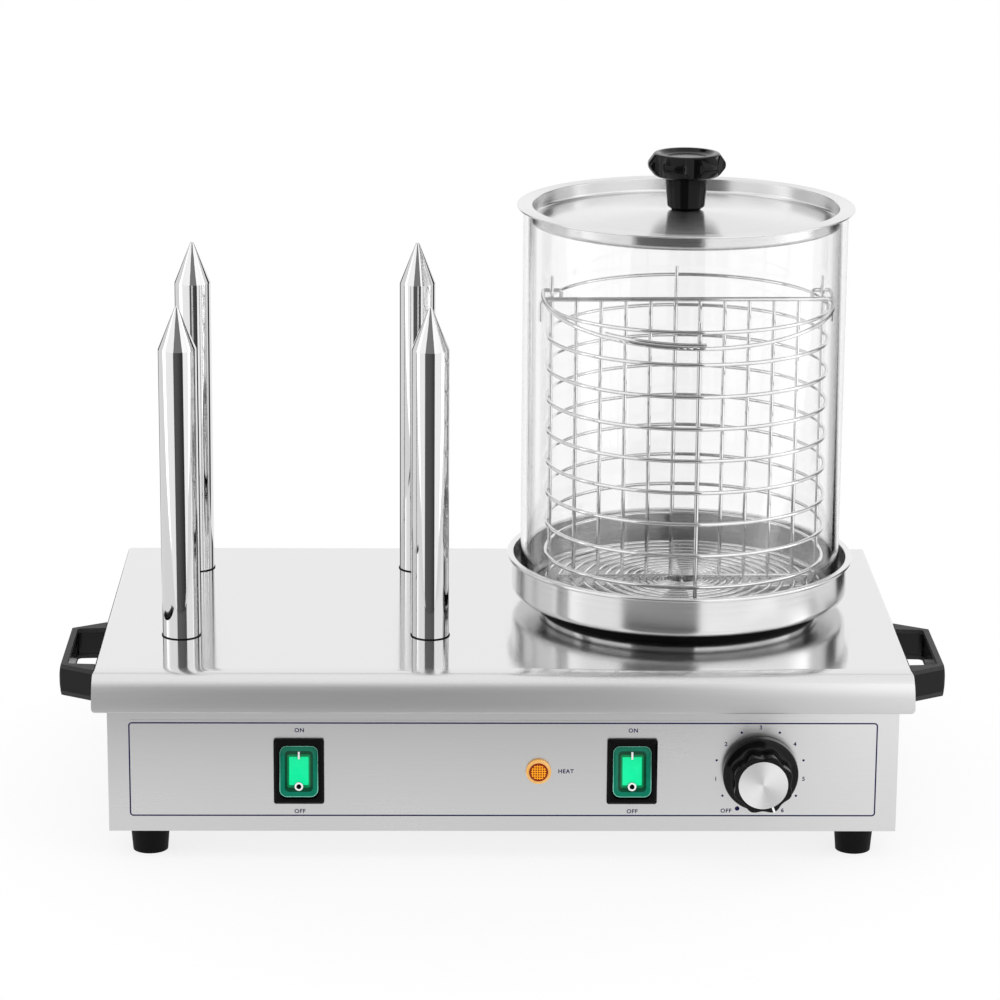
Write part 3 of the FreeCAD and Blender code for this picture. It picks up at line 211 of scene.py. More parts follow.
def round_about(tree, place, *stops):
    """Colour by bearing: 0 and 1 lie behind the camera, 0.25 at the left and 0.5 behind the object."""
    bearing = maths(tree, "ARCTAN2", place["X"], place["Y"])
    return ramp(tree, between(tree, bearing, 0.0, 1.0, -math.pi, math.pi), *stops)


def meets_metal(tree, path):
    """One for a ray that has left a mirror, also where it then passes through glass."""
    after_mirror = maths(tree, "GREATER_THAN", path.outputs["Glossy Depth"], 0.5)
    return maths(tree, "MAXIMUM", after_mirror, path.outputs["Is Glossy Ray"])


world = bpy.data.worlds.new("studio")
bpy.context.scene.world = world
world.use_nodes = True
tree = world.node_tree
tree.nodes.clear()
direction = split_place(tree, "Generated")
surround = round_about(tree, direction, (0.0, "#565656"), (0.19, "#666666"), (0.25, "#EAEAEA"),
                       *BLACK_CARDS, (0.74, "#EAEAEA"), (0.79, "#262626"), (0.92, "#363636"),
                       (1.0, "#565656"))
above = between(tree, direction["Z"], 0.0, 1.0, CEILING_START, CEILING_END)
front = between(tree, direction["Y"], 1.0, 0.0, FRONT_START, 0.0)
rise = between(tree, direction["Z"], 0.0, 1.0, FRONT_RISE_START, FRONT_RISE_END)
raised = maths(tree, "MULTIPLY", front, rise)
surround = tinted(tree, maths(tree, "MAXIMUM", above, raised), surround, CEILING_GREY)
mirrored = add_node(tree, "Background", {"Color": surround, "Strength": 1.0})
fill = add_node(tree, "Background", {"Color": linear("#FFFFFF"), "Strength": FILL_STRENGTH})
white = add_node(tree, "Background", {"Color": linear("#FFFFFF"), "Strength": 1.0})
path = add_node(tree, "LightPath")
met_metal = meets_metal(tree, path)
through_glass = maths(tree, "SUBTRACT", path.outputs["Is Transmission Ray"], met_metal)
seen_plain = maths(tree, "MAXIMUM", path.outputs["Is Camera Ray"], through_glass)
lit = add_node(tree, "MixShader", {0: met_metal, 1: fill.outputs[0], 2: mirrored.outputs[0]})
shown = add_node(tree, "MixShader", {0: seen_plain, 1: lit.outputs[0], 2: white.outputs[0]})
add_node(tree, "OutputWorld", {"Surface": shown.outputs[0]})

# %% Soft panels
def soft_panel(name, place, target, width, height, radiance):
    """Rectangular lamp of an even brightness, given in millimetres, that looks at a target."""
    lamp = bpy.data.lights.new(name, "AREA")
    lamp.shape = "RECTANGLE"
    lamp.size, lamp.size_y = width * MM, height * MM
    lamp.energy = radiance * math.pi * width * height * MM * MM
    panel = bpy.data.objects.new(name, lamp)
    panel.location = Vector(place) * MM
    panel.rotation_euler = (Vector(place) - Vector(target)).to_track_quat("Z", "Y").to_euler()
    panel.visible_camera = False
    bpy.context.scene.collection.objects.link(panel)
    return panel


PANEL_FOOT, PANEL_HEIGHT, PANEL_LENGTH, PANEL_ANGLE = -700, 2000, 1500, 30
GAP_LEFT, GAP_RIGHT, GAP_FRONT = -400, 215, -600
LEFT_RADIANCE, RIGHT_RADIANCE, OVERHEAD_RADIANCE = 0.90, 1.04, 0.72
OVERHEAD_PLACE, OVERHEAD_WIDTH, OVERHEAD_DEPTH = (0, 0, 1500), 1600, 1300


def side_panel(name, gap_edge, outward, radiance):
    """Upright panel that starts at the edge of the gap and runs outward and back."""
    angle = math.radians(PANEL_ANGLE)
    run = Vector((outward * math.cos(angle), math.sin(angle), 0))
    centre = Vector((gap_edge, GAP_FRONT, PANEL_FOOT + PANEL_HEIGHT / 2)) + run * PANEL_LENGTH / 2
    facing = Vector((-outward * run.y, outward * run.x, 0))
    return soft_panel(name, centre, centre + facing, PANEL_LENGTH, PANEL_HEIGHT, radiance)


side_panel("left_panel", GAP_LEFT, -1, LEFT_RADIANCE)
side_panel("right_panel", GAP_RIGHT, 1, RIGHT_RADIANCE)
soft_panel("overhead_panel", OVERHEAD_PLACE, (0, 0, 0), OVERHEAD_WIDTH, OVERHEAD_DEPTH, OVERHEAD_RADIANCE)

# %% [markdown]
# ## Table
# The table is seen as white by the lens and by mirrors, so it takes part of its white from an emission
# that only those rays meet. The share falls off towards the object, where the true shadow must show. In
# that emission two black wedges, left and right of the sweep, carry the flags of the world downward. Only
# rays that have met a mirror see them, and they draw the thin dark edges of spikes and wires.

# %% Floor
TABLE_FRONT, TABLE_REACH = -458, 6000
SHADOW_SHARE, SHADOW_START, SHADOW_END = 0.22, 230, 370

mesh = bpy.data.meshes.new("table")
mesh.from_pydata([Vector((x, y, 0)) * MM for x, y in
                  ((-TABLE_REACH, TABLE_FRONT), (TABLE_REACH, TABLE_FRONT),
                   (TABLE_REACH, TABLE_REACH), (-TABLE_REACH, TABLE_REACH))], [], [(0, 1, 2, 3)])
table = bpy.data.objects.new("table", mesh)
bpy.context.scene.collection.objects.link(table)
table_finish, tree, shader = new_finish("matt_white_table", Base_Color=linear("#F2F2F2"), Roughness=0.9)
path = add_node(tree, "LightPath")
flags = round_about(tree, split_place(tree), *BLACK_CARDS)
glow = add_node(tree, "Emission", {"Color": tinted(tree, meets_metal(tree, path), "#FFFFFF", flags),
                                   "Strength": 1.0})
seen = maths(tree, "MAXIMUM", path.outputs["Is Camera Ray"], path.outputs["Is Glossy Ray"])
seen = maths(tree, "MAXIMUM", seen, path.outputs["Is Transmission Ray"])
from_middle = add_node(tree, "VectorMath", {0: add_node(tree, "TexCoord").outputs["Object"]},
                       operation="LENGTH")
near = between(tree, from_middle.outputs["Value"], 1 - SHADOW_SHARE, 1.0,
               SHADOW_START * MM, SHADOW_END * MM)
mixed = add_node(tree, "MixShader", {0: maths(tree, "MULTIPLY", seen, near), 1: shader.outputs[0],
                                     2: glow.outputs[0]})
tree.links.new(mixed.outputs[0], tree.nodes["Material Output"].inputs["Surface"])
mesh.materials.append(table_finish)

# %% [markdown]
# ## Brushed stainless steel
# The base is folded from 304 stainless sheet with a number four finish: fine belt marks that run from
# side to side. Grooves along X scatter light up and down but not sideways, which is why the spikes'
# reflections stay sharp at their sides. The anisotropic shader spreads light along its tangent, so the
# tangent follows the grooves and is then given a quarter turn. A long thin noise gives the marks. Real
# ones are about a tenth of a millimetre wide, too fine to show, so these are drawn seven times as wide.
# Bending stretches the skin of the sheet, so the folded edges are duller than the flat: their roughness
# rises below the top.

# %% Brushed sheet
QUARTER_TURN = 0.25
GRAIN_LENGTH, GRAIN_WIDTH = 60, 0.7
GRAIN_CLOUD = (90, 60, 60)
FOLD_START, FOLD_DROP, FOLD_DULLNESS = 0.5, 12.0, 0.42


def brushed_steel(name, colour, rough, anisotropy, depth, duller_below=None):
    """Sheet steel with belt marks along X; it may be duller below a height, by a given roughness."""
    finish, tree, shader = new_finish(name, Metallic=1.0, Anisotropic=anisotropy,
                                      Anisotropic_Rotation=QUARTER_TURN)
    marks = grain(tree, (GRAIN_LENGTH, GRAIN_WIDTH, GRAIN_WIDTH))
    tree.links.new(tinted(tree, between(tree, marks, 0.25, 0.75), *colour), shader.inputs["Base Color"])
    spread = maths(tree, "ADD", between(tree, grain(tree, GRAIN_CLOUD, 1.0), *rough),
                   between(tree, marks, -0.02, 0.02))
    if duller_below:
        height, drop, extra = duller_below
        fold = between(tree, split_place(tree)["Z"], extra, 0.0, (height - drop) * MM, height * MM)
        spread = maths(tree, "ADD", spread, fold)
    tree.links.new(spread, shader.inputs["Roughness"])
    along = add_node(tree, "CombineXYZ", {"X": 1.0})
    tree.links.new(along.outputs[0], shader.inputs["Tangent"])
    relief(tree, shader, marks, depth)
    return finish


PLATE_TOP = high("top_plate").z
plate_steel = brushed_steel("brushed_304_plate", ("#E0E0E0", "#EAEAEA"), (0.10, 0.13), 0.7, 0.0012,
                            (PLATE_TOP - FOLD_START, FOLD_DROP, FOLD_DULLNESS))
casing_steel = brushed_steel("brushed_304_casing", ("#E4E4E4", "#EEEEEE"), (0.26, 0.31), 0.6, 0.0004)
print("plate top, mm:", round(PLATE_TOP, 1))

# %% [markdown]
# ## Spun steel
# The pan and the lid were drawn from discs and polished on a lathe, so their marks are fine rings. The
# tangent goes round the upright axis, and a noise of the radius and height draws the rings, again coarser
# than real ones. Light is spread up and down the pan's wall, and the sides of each reflection stay crisp.

# %% Spun sheet
def spun_steel(name, colour, rough, anisotropy, axis_place, ring_pitch=0.9, depth=0.001, axis="Z"):
    """Steel turned about an axis that runs through a place given in millimetres."""
    finish, tree, shader = new_finish(name, Metallic=1.0, Anisotropic=anisotropy,
                                      Anisotropic_Rotation=QUARTER_TURN)
    place = add_node(tree, "VectorMath", {0: add_node(tree, "TexCoord").outputs["Object"],
                                          1: Vector(axis_place) * MM}, operation="SUBTRACT").outputs[0]
    flat = [float(letter != axis) for letter in "XYZ"]
    across = add_node(tree, "VectorMath", {0: place, 1: flat}, operation="MULTIPLY").outputs[0]
    radius = add_node(tree, "VectorMath", {0: across}, operation="LENGTH").outputs["Value"]
    along = add_node(tree, "SeparateXYZ", {"Vector": place}).outputs[axis]
    rings = add_node(tree, "CombineXYZ", {"X": radius, "Y": along})
    lines = add_node(tree, "TexNoise", {"Vector": rings.outputs[0], "Scale": 1 / (ring_pitch * MM),
                                        "Detail": 2.0}, noise_dimensions="2D").outputs["Fac"]
    tree.links.new(tinted(tree, between(tree, lines, 0.2, 0.8), *colour), shader.inputs["Base Color"])
    tree.links.new(between(tree, lines, *rough), shader.inputs["Roughness"])
    tangent = add_node(tree, "Tangent", direction_type="RADIAL", axis=axis)
    tree.links.new(tangent.outputs[0], shader.inputs["Tangent"])
    relief(tree, shader, lines, depth)
    return finish


STEAMER = middle("water_pan")
pan_steel = spun_steel("spun_304_pan", ("#DEDEDE", "#F0F0F0"), (0.20, 0.28), 0.85, STEAMER)
lid_steel = spun_steel("spun_304_lid", ("#D8D8D8", "#EEEEEE"), (0.20, 0.28), 0.8, STEAMER)
cap_metal = spun_steel("spun_aluminium_cap", ("#F2F2F2", "#FFFFFF"), (0.38, 0.46), 0.8,
                       middle("control_knob_cap"), 0.35, 0.001, "Y")
print("steamer axis, mm:", round(STEAMER.x, 1), round(STEAMER.y, 1))

# %% [markdown]
# ## Bright steel
# The spikes are polished tube and the basket is electropolished wire. Both are mirrors with a faint haze
# left by the buffing wheel, so their roughness is low and drifts a little from place to place.

# %% Polished finishes
def polished_steel(name, colour, rough, haze=25, ripple=0.0015):
    """Mirror metal whose haze drifts over patches as wide as haze says, with a ripple as deep as given."""
    finish, tree, shader = new_finish(name, Base_Color=linear(colour), Metallic=1.0)
    clouds = grain(tree, (haze, haze, haze * 2), 2.0)
    tree.links.new(between(tree, clouds, *rough), shader.inputs["Roughness"])
    relief(tree, shader, grain(tree, (haze, haze, haze * 8), 1.0), ripple)
    return finish


spike_steel = polished_steel("polished_spike_tube", "#E4E4E4", (0.03, 0.06))
wire_steel = polished_steel("electropolished_wire", "#ECECEC", (0.04, 0.08), 6, 0.0004)
zinc = polished_steel("zinc_plated_steel", "#B9BDC2", (0.28, 0.42), 3)
heater_steel = polished_steel("oxidised_heater_sheath", "#7A746C", (0.4, 0.55), 8)
brass = polished_steel("bare_brass", "#D8B26A", (0.2, 0.35), 5)

# %% [markdown]
# ## Glass
# The cylinder is drawn borosilicate tube with a four millimetre wall. Its index is 1.47. The melt holds a
# trace of grey, so an absorbing volume fills the wall: it takes little where the eye looks straight
# through, and draws a grey line where the eye looks along the wall at the two sides.

# %% Glass finish
GLASS_DENSITY = 2.2

glass_finish, tree, shader = new_finish("borosilicate_tube", Base_Color=linear("#FFFFFF"), Roughness=0.0,
                                        IOR=1.47, Transmission_Weight=1.0)
relief(tree, shader, grain(tree, (60, 60, 160), 1.0), 0.01)
smoke = add_node(tree, "VolumeAbsorption", {"Color": linear("#303231"), "Density": GLASS_DENSITY})
tree.links.new(smoke.outputs[0], tree.nodes["Material Output"].inputs["Volume"])

# %% [markdown]
# ## Moulded plastics
# Phenolic knobs come glossy from a polished mould and hold a slight orange peel. The gland and the
# handles are glass-filled nylon with a sparked texture. The feet are matt rubber. Each has a dark base, a
# plastic's index of about 1.5, and a relief of its own grain. Carbon black drinks up light just under the
# skin, so the even gloss is kept low and only the edges shine.

# %% Plastic finishes
def moulded(name, colour, rough, pebble, depth, gloss):
    """Opaque plastic with a pebble relief, its size and depth in millimetres."""
    finish, tree, shader = new_finish(name, IOR=1.5, Specular_IOR_Level=gloss)
    pebbles = grain(tree, (pebble,) * 3, 2.0)
    tree.links.new(tinted(tree, pebbles, *colour), shader.inputs["Base Color"])
    tree.links.new(between(tree, pebbles, *rough), shader.inputs["Roughness"])
    relief(tree, shader, pebbles, depth)
    return finish


phenolic = moulded("moulded_phenolic", ("#060606", "#0A0A0A"), (0.08, 0.13), 14, 0.02, 0.2)
nylon = moulded("textured_nylon", ("#101010", "#1A1A1A"), (0.5, 0.7), 0.9, 0.05, 0.2)
# This black rubber is real on the feet; on the pan's seat ring and the spike collars it is painted shade in
# the gaps.
rubber_and_gap_shade = moulded("moulded_rubber_and_gap_shade", ("#090909", "#0F0F0F"), (0.5, 0.65), 1.6, 0.03, 0.12)
switch_frame = moulded("satin_polyamide", ("#050505", "#090909"), (0.16, 0.24), 2.0, 0.01, 0.08)
ceramic = moulded("steatite_ceramic", ("#DAD6CB", "#EAE6DC"), (0.35, 0.5), 2.5, 0.02, 0.5)
lead_cover = moulded("silicone_lead_cover", ("#7A3A22", "#8E4A30"), (0.4, 0.5), 2.0, 0.01, 0.4)
navy_ink = moulded("screen_printed_ink", ("#100E40", "#161450"), (0.45, 0.55), 1.2, 0.002, 0.1)
white_ink = moulded("white_marking_paint", ("#F2F2F2", "#FAFAFA"), (0.35, 0.45), 1.2, 0.002, 0.4)

# %% [markdown]
# The handles come from one mould with two textures: their top face and the two bands along their edges
# are sparked, and the panel between them is polished. The height inside the handle tells them apart.

# %% Handle finish
HANDLE_BAND, SPARK_SIZE = 2.9, 0.8


def handle_nylon(node):
    """Nylon that is sparked on top and in two bands, and polished between them."""
    finish, tree, shader = new_finish("two_texture_nylon", IOR=1.5, Specular_IOR_Level=0.3)
    sparks = grain(tree, (SPARK_SIZE,) * 3, 2.0)
    height = split_place(tree)["Z"]
    top_band = maths(tree, "GREATER_THAN", height, (high(node).z - HANDLE_BAND) * MM)
    low_band = maths(tree, "LESS_THAN", height, (low(node).z + HANDLE_BAND) * MM)
    band = maths(tree, "MAXIMUM", top_band, low_band)
    sparked = tinted(tree, sparks, "#161616", "#3A3A3A")
    tree.links.new(tinted(tree, band, "#060606", sparked), shader.inputs["Base Color"])
    rough = maths(tree, "ADD", between(tree, band, 0.14, 0.5), between(tree, sparks, 0.0, 0.06))
    tree.links.new(rough, shader.inputs["Roughness"])
    relief(tree, shader, maths(tree, "MULTIPLY", band, sparks), 0.06)
    return finish


handle_finish = handle_nylon("handle_left")
print("finishes so far:", len(bpy.data.materials))

# %% [markdown]
# ## Dressing the imported nodes
# Most solids already have the right shape, so they only take a finish. One table says which.

# %% Finishes for carried-over nodes
# The pan's seat ring and the spike collars take the black rubber as painted shade: the dark gap under the
# pan and the dark line at the foot of each spike.
finish_of = {
    "base_casing": casing_steel, "bottom_cover": casing_steel, "top_plate": plate_steel,
    "control_label": casing_steel, "water_pan": pan_steel, "pan_seat_ring": rubber_and_gap_shade, "lid": lid_steel,
    "glass_cylinder": glass_finish, "lid_knob": phenolic, "control_knob": phenolic,
    "handle_left": handle_finish, "handle_right": handle_finish, "cable_gland": nylon,
    "cable_gland_nut": nylon, "switch_housing_left": switch_frame, "switch_housing_right": switch_frame,
    "thermal_cutout": switch_frame, "thermostat_body": switch_frame, "spike_collars": rubber_and_gap_shade,
    "heater_cartridges": heater_steel, "pan_heating_element": heater_steel, "sensing_bulb": heater_steel,
    "capillary_tube": brass, "switch_blades": brass, "terminal_block": ceramic,
    "internal_leads": lead_cover, "control_knob_cap": cap_metal}
for name, piece in nodes.items():
    if name.startswith("foot_") and name not in ("foot_screws", "foot_nuts"):
        finish_of[name] = rubber_and_gap_shade
    elif name.startswith(("spike_front", "spike_rear")):
        finish_of[name] = spike_steel
    elif name.startswith("basket_"):
        finish_of[name] = wire_steel
    piece.data.materials.clear()
    piece.data.materials.append(finish_of.get(name, zinc))
print("nodes dressed:", len(nodes))

# %% [markdown]
# ## Building blocks for new pieces
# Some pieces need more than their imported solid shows: the rockers, the lamp, the lid, its knob and the
# printing. They could be modelled with booleans, but stacked loops are lighter and keep clean edges. One
# loop is a ring of points. Neighbouring loops are joined by faces, and the ends may be capped.

# %% Loops and skins
def rounded_loop(width, height, radius, steps=6):
    """Points (across, up) round a rectangle with rounded corners."""
    loop = []
    for corner, (side, rise) in enumerate(((1, 1), (-1, 1), (-1, -1), (1, -1))):
        centre = Vector((side * (width / 2 - radius), rise * (height / 2 - radius)))
        for step in range(steps + 1):
            angle = math.radians(90 * (corner + step / steps))
            loop.append(centre + radius * Vector((math.cos(angle), math.sin(angle))))
    return loop


def round_loop(radius, count=48):
    """Points (across, up) round a circle."""
    turn = 2 * math.pi / count
    return [Vector((radius * math.cos(i * turn), radius * math.sin(i * turn))) for i in range(count)]


def add_piece(name, loops, finishes, body, stands_for=(), ends=(True, True), rows=None, sharp=32):
    """Joins stacked loops of 3-D points into a piece that rides on a body.

    rows gives each row of faces, and then each capped end, the place of its finish in finishes."""
    count = len(loops[0])
    faces, marks = [], []
    for row in range(len(loops) - 1):
        for i in range(count):
            j = (i + 1) % count
            faces.append((row * count + i, row * count + j, (row + 1) * count + j, (row + 1) * count + i))
            marks.append(rows[row] if rows else 0)
    for cap, (wanted, row) in enumerate(zip(ends, (0, len(loops) - 1))):
        if wanted:
            faces.append(tuple(row * count + i for i in range(count)))
            marks.append(rows[len(loops) - 1 + cap] if rows else 0)
    mesh = bpy.data.meshes.new(name)
    mesh.from_pydata([Vector(point) * MM for loop in loops for point in loop], [], faces)
    mesh.polygons.foreach_set("material_index", marks)
    for finish in finishes:
        mesh.materials.append(finish)
    tidy = bmesh.new()
    tidy.from_mesh(mesh)
    bmesh.ops.remove_doubles(tidy, verts=tidy.verts, dist=0.002 * MM)
    bmesh.ops.recalc_face_normals(tidy, faces=tidy.faces)
    tidy.to_mesh(mesh)
    tidy.free()
    mesh.polygons.foreach_set("use_smooth", [True] * len(mesh.polygons))
    mesh.set_sharp_from_angle(angle=math.radians(sharp))
    piece = bpy.data.objects.new(name, mesh)
    bpy.context.scene.collection.objects.link(piece)
    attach(piece, body)
    if stands_for:
        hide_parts(*stands_for)
    return piece


def rounded_path(corners, steps=5):
    """Open outline through (radius, height, rounding) corners."""
    spots = [Vector(corner[:2]) for corner in corners]
    path = [spots[0]]
    for before, here, after, (_, _, rounding) in zip(spots, spots[1:], spots[2:], corners[1:-1]):
        back, onward = (before - here).normalized(), (after - here).normalized()
        half = back.angle(onward) / 2
        reach = rounding / math.tan(half)
        start, end = here + back * reach, here + onward * reach
        centre = here + (back + onward).normalized() * (rounding / math.sin(half)) if rounding else here
        for step in range(steps + 1 if rounding else 1):
            chord = start.lerp(end, step / steps)
            path.append(centre + (chord - centre).normalized() * rounding if rounding else here)
    return path + [spots[-1]]


print("points in a rounded loop:", len(rounded_loop(20, 10, 2)))

# %% [markdown]
# ## Lid
# The lid is spun from one disc: a thin flat flange that lies on the glass, a plug wall that drops into it,
# and a gently domed floor. A closed outline is turned about the steamer's axis, with the press tool's
# radii in its corners, and the flange ends in a small rounded edge. Its plug shows through the glass.

# %% Lid
LID_SHEET, LID_RECESS, LID_DOME, DOME_EDGE, PLUG_WALL = 1.0, 9.0, 6.5, 90.3, 95.3
FLOOR_ROUND, SHOULDER_ROUND, EDGE_ROUND, THROAT_ROUND, PLUG_ROUND = 2.2, 0.8, 0.45, 0.4, 3.0
LID_TOP = high("lid").z
LID_RIM = half_width("lid")
TURN_STEPS = 160

dome_radius = (DOME_EDGE ** 2 + LID_DOME ** 2) / (2 * LID_DOME)


def dome(apex, steps=24):
    """Points from the apex to the edge of the domed floor."""
    points = [DOME_EDGE * i / steps for i in range(steps + 1)]
    return [Vector((r, apex - dome_radius + math.sqrt(dome_radius ** 2 - r ** 2))) for r in points]


def turned_loops(path, centre, count=TURN_STEPS):
    """Rings of 3-D points for each (radius, height) point of an outline."""
    return [[(centre.x + spot.x, centre.y + spot.y, height) for spot in round_loop(radius, count)]
            for radius, height in path]


lid_floor = LID_TOP - LID_RECESS
plug_inside = PLUG_WALL - LID_SHEET
rim_path = rounded_path([(DOME_EDGE, lid_floor, 0), (plug_inside, lid_floor, FLOOR_ROUND),
                         (plug_inside, LID_TOP, SHOULDER_ROUND), (LID_RIM, LID_TOP, EDGE_ROUND),
                         (LID_RIM, LID_TOP - LID_SHEET, EDGE_ROUND),
                         (PLUG_WALL, LID_TOP - LID_SHEET, THROAT_ROUND),
                         (PLUG_WALL, lid_floor - LID_SHEET, PLUG_ROUND),
                         (DOME_EDGE, lid_floor - LID_SHEET, 0)])
upper_dome = dome(lid_floor + LID_DOME)
lower_dome = dome(lid_floor + LID_DOME - LID_SHEET)
lid_path = upper_dome + rim_path + list(reversed(lower_dome))
add_piece("steamer_lid", turned_loops(lid_path, STEAMER), [lid_steel], "lid_assembly",
          ("lid",))
print("lid outline points:", len(lid_path))

# %% [markdown]
# ## Foot bead of the pan
# Round the seat ring runs a narrow bright bead. The ring's black rubber is painted shade under the pan. The
# bead stands three millimetres off the plate, so a dark line of that painted shade stays under it. It is a
# small turned ring whose outline is closed, so its last loop is its first.

# %% Foot bead
BEAD_FOOT, BEAD_HEIGHT, BEAD_STAND, BEAD_SINK, BEAD_ROUND = 3.2, 3.6, 0.6, 1.0, 0.9
bead_top = low("pan_seat_ring").z + BEAD_FOOT + BEAD_HEIGHT
bead_low = bead_top - BEAD_HEIGHT
bead_outer = half_width("pan_seat_ring") + BEAD_STAND
bead_inner = bead_outer - BEAD_STAND - BEAD_SINK
bead_path = rounded_path([(bead_inner, bead_top, 0), (bead_outer, bead_top, BEAD_ROUND),
                          (bead_outer, bead_low, BEAD_ROUND), (bead_inner, bead_low, 0)])
add_piece("pan_foot_bead", turned_loops(bead_path + bead_path[:1], STEAMER), [spike_steel], "base",
          ends=(False, False))
print("bead radius, mm:", round(bead_outer, 1))

# %% [markdown]
# ## Lid knob
# The knob is compression-moulded phenolic: a tapered stem, a fat rounded rim with six finger scallops, and
# a shallow dish on top. Each point of the turned outline is drawn in to the nearest scallop, which is an
# upright cylinder that cuts the rim. Many narrow steps keep the scallops' edges crisp.

# %% Lid knob
KNOB_SCALLOPS, SCALLOP_RADIUS, SCALLOP_DEPTH, SCALLOP_TURN = 6, 8.5, 4.8, -83
KNOB_RIM_RISE, KNOB_CROWN, KNOB_DISH = 20.5, 0.1, 2.4
KNOB_FOOT = low("lid_knob").z
KNOB_RIM = half_width("lid_knob")
rim_low, rim_high = KNOB_FOOT + KNOB_RIM_RISE, high("lid_knob").z
rim_middle = (rim_low + rim_high) / 2
knob_path = rounded_path([(0, KNOB_FOOT, 0), (8.6, KNOB_FOOT, 0.6), (11.5, KNOB_FOOT + 2.2, 1.5),
                          (13.2, rim_low, 0.8), (19.5, rim_low, 5.5), (KNOB_RIM, rim_middle, 4.5),
                          (20.0, rim_high - KNOB_CROWN, 2.2), (17.2, rim_high, 1.0),
                          (13.5, rim_high - KNOB_DISH, 6.0), (0, rim_high - KNOB_DISH, 0)], steps=8)
scallop_reach = KNOB_RIM + SCALLOP_RADIUS - SCALLOP_DEPTH


def scalloped(radius, angle):
    """Radius at an angle once the nearest scallop has been cut."""
    period = 2 * math.pi / KNOB_SCALLOPS
    offset = (angle - math.radians(SCALLOP_TURN) + period / 2) % period - period / 2
    across = scallop_reach * math.sin(offset)
    if abs(across) >= SCALLOP_RADIUS:
        return radius
    return min(radius, scallop_reach * math.cos(offset) - math.sqrt(SCALLOP_RADIUS ** 2 - across ** 2))


knob_loops = []
for radius, height in knob_path:
    loop = []
    for step in range(2 * TURN_STEPS):
        angle = math.pi * step / TURN_STEPS
        reach = scalloped(radius, angle)
        loop.append((STEAMER.x + reach * math.cos(angle), STEAMER.y + reach * math.sin(angle), height))
    knob_loops.append(loop)
add_piece("steamer_lid_knob", knob_loops, [phenolic], "lid_assembly", ("lid_knob",),
          sharp=25)
print("knob rim radius, mm:", round(KNOB_RIM, 1))

# %% [markdown]
# ## Rocker switches
# Each rocker is a green polycarbonate lens in a black frame. Its edge has a pale painted highlight, a
# broad border surrounds a sloping well, and in the well a window glows because a neon lamp sits behind
# it. Eight stacked loops draw all of that, and each row of faces takes its own green. The moulded marks, a
# bar and a ring, stand in the well. Everything is worked out flat and then tilted on the pivot.

# %% Green polycarbonate
def lens(name, colour, rough, glow_colour=None, glow_strength=0.0):
    """Tinted lens plastic with faint moulding clouds; a lit one gives off a little light."""
    finish, tree, shader = new_finish(name, IOR=1.58, Specular_IOR_Level=0.15,
                                      Emission_Color=linear(glow_colour or colour[0]),
                                      Emission_Strength=glow_strength)
    clouds = grain(tree, (5, 5, 5), 2.0)
    tree.links.new(tinted(tree, clouds, *colour), shader.inputs["Base Color"])
    tree.links.new(between(tree, clouds, *rough), shader.inputs["Roughness"])
    relief(tree, shader, clouds, 0.01)
    return finish


lens_border = lens("green_lens_border", ("#0A6B52", "#148468"), (0.1, 0.16))
# Painted highlight: this pale ring stands for light caught on the lens's rounded edge.
lens_edge_highlight = lens("green_lens_edge_highlight", ("#7FD8BE", "#A4E8D4"), (0.15, 0.2))
lens_well = lens("green_lens_well", ("#043A26", "#0A5238"), (0.14, 0.2))
lens_sill = lens("green_lens_sill", ("#0A7A46", "#0F8E58"), (0.14, 0.2))
lens_window = lens("green_lens_window", ("#08D890", "#14E8A2"), (0.2, 0.3), "#00E090", 0.25)

# %% Rockers
PANEL_FRONT = low("base_casing").y
ROCKER_WIDTH, ROCKER_HEIGHT, ROCKER_FRONT, ROCKER_DISH = 23.0, 31.0, 4.2, 1.2
ROCKER_TILT, PIVOT_DEPTH = math.radians(8), 1.0
WINDOW_LEVEL = 2.3
# Loops of the border: inset, corner radius and depth under the dished face.
BORDER_LOOPS = ((0, 4.4, 9.0), (0, 4.4, 0.45), (0.35, 4.2, 0.0), (0.85, 3.9, 0.0), (6.2, 2.6, 0.05))
# Loops of the window: width, height, corner radius and rise over the window's level.
WINDOW_LOOPS = ((13.6, 20.0, 1.2, 0.25), (11.9, 17.5, 0.6, 0.1), (11.5, 17.1, 0.5, 0.0))
# The marks: how far their middles stand off the pivot, and how far out they reach.
ON_MARK_RISE, OFF_MARK_DROP, MARK_FOOT = 9.9, 9.3, WINDOW_LEVEL - 0.2
BAR_WIDTH, BAR_HEIGHT, BAR_CORNER, BAR_LEVELS = 1.15, 5.2, 0.3, (MARK_FOOT, 3.3, 3.4)
RING_LOOPS = ((2.55, MARK_FOOT), (2.55, 3.35), (2.45, 3.45), (1.5, 3.45), (1.45, 3.2))


def tilted(centre, across, up, out):
    """Place of a rocker's point, tipped on its pivot with the upper end pressed in."""
    rise = up * math.cos(ROCKER_TILT) + out * math.sin(ROCKER_TILT)
    stand = out * math.cos(ROCKER_TILT) - up * math.sin(ROCKER_TILT) - PIVOT_DEPTH
    return (centre.x + across, PANEL_FRONT - stand, centre.z + rise)


def dished(up, depth):
    """Height of the dished face, less a depth."""
    return ROCKER_FRONT - ROCKER_DISH * (1 - (2 * up / ROCKER_HEIGHT) ** 2) - depth


def rocker_loops(centre):
    """Loops of a rocker from the foot of its side to the rim of its window."""
    loops = [[tilted(centre, p.x, p.y, dished(p.y, depth))
              for p in rounded_loop(ROCKER_WIDTH - inset, ROCKER_HEIGHT - inset, corner)]
             for inset, corner, depth in BORDER_LOOPS]
    for width, height, corner, rise in WINDOW_LOOPS:
        loops.append([tilted(centre, p.x, p.y, WINDOW_LEVEL + rise)
                      for p in rounded_loop(width, height, corner)])
    return loops


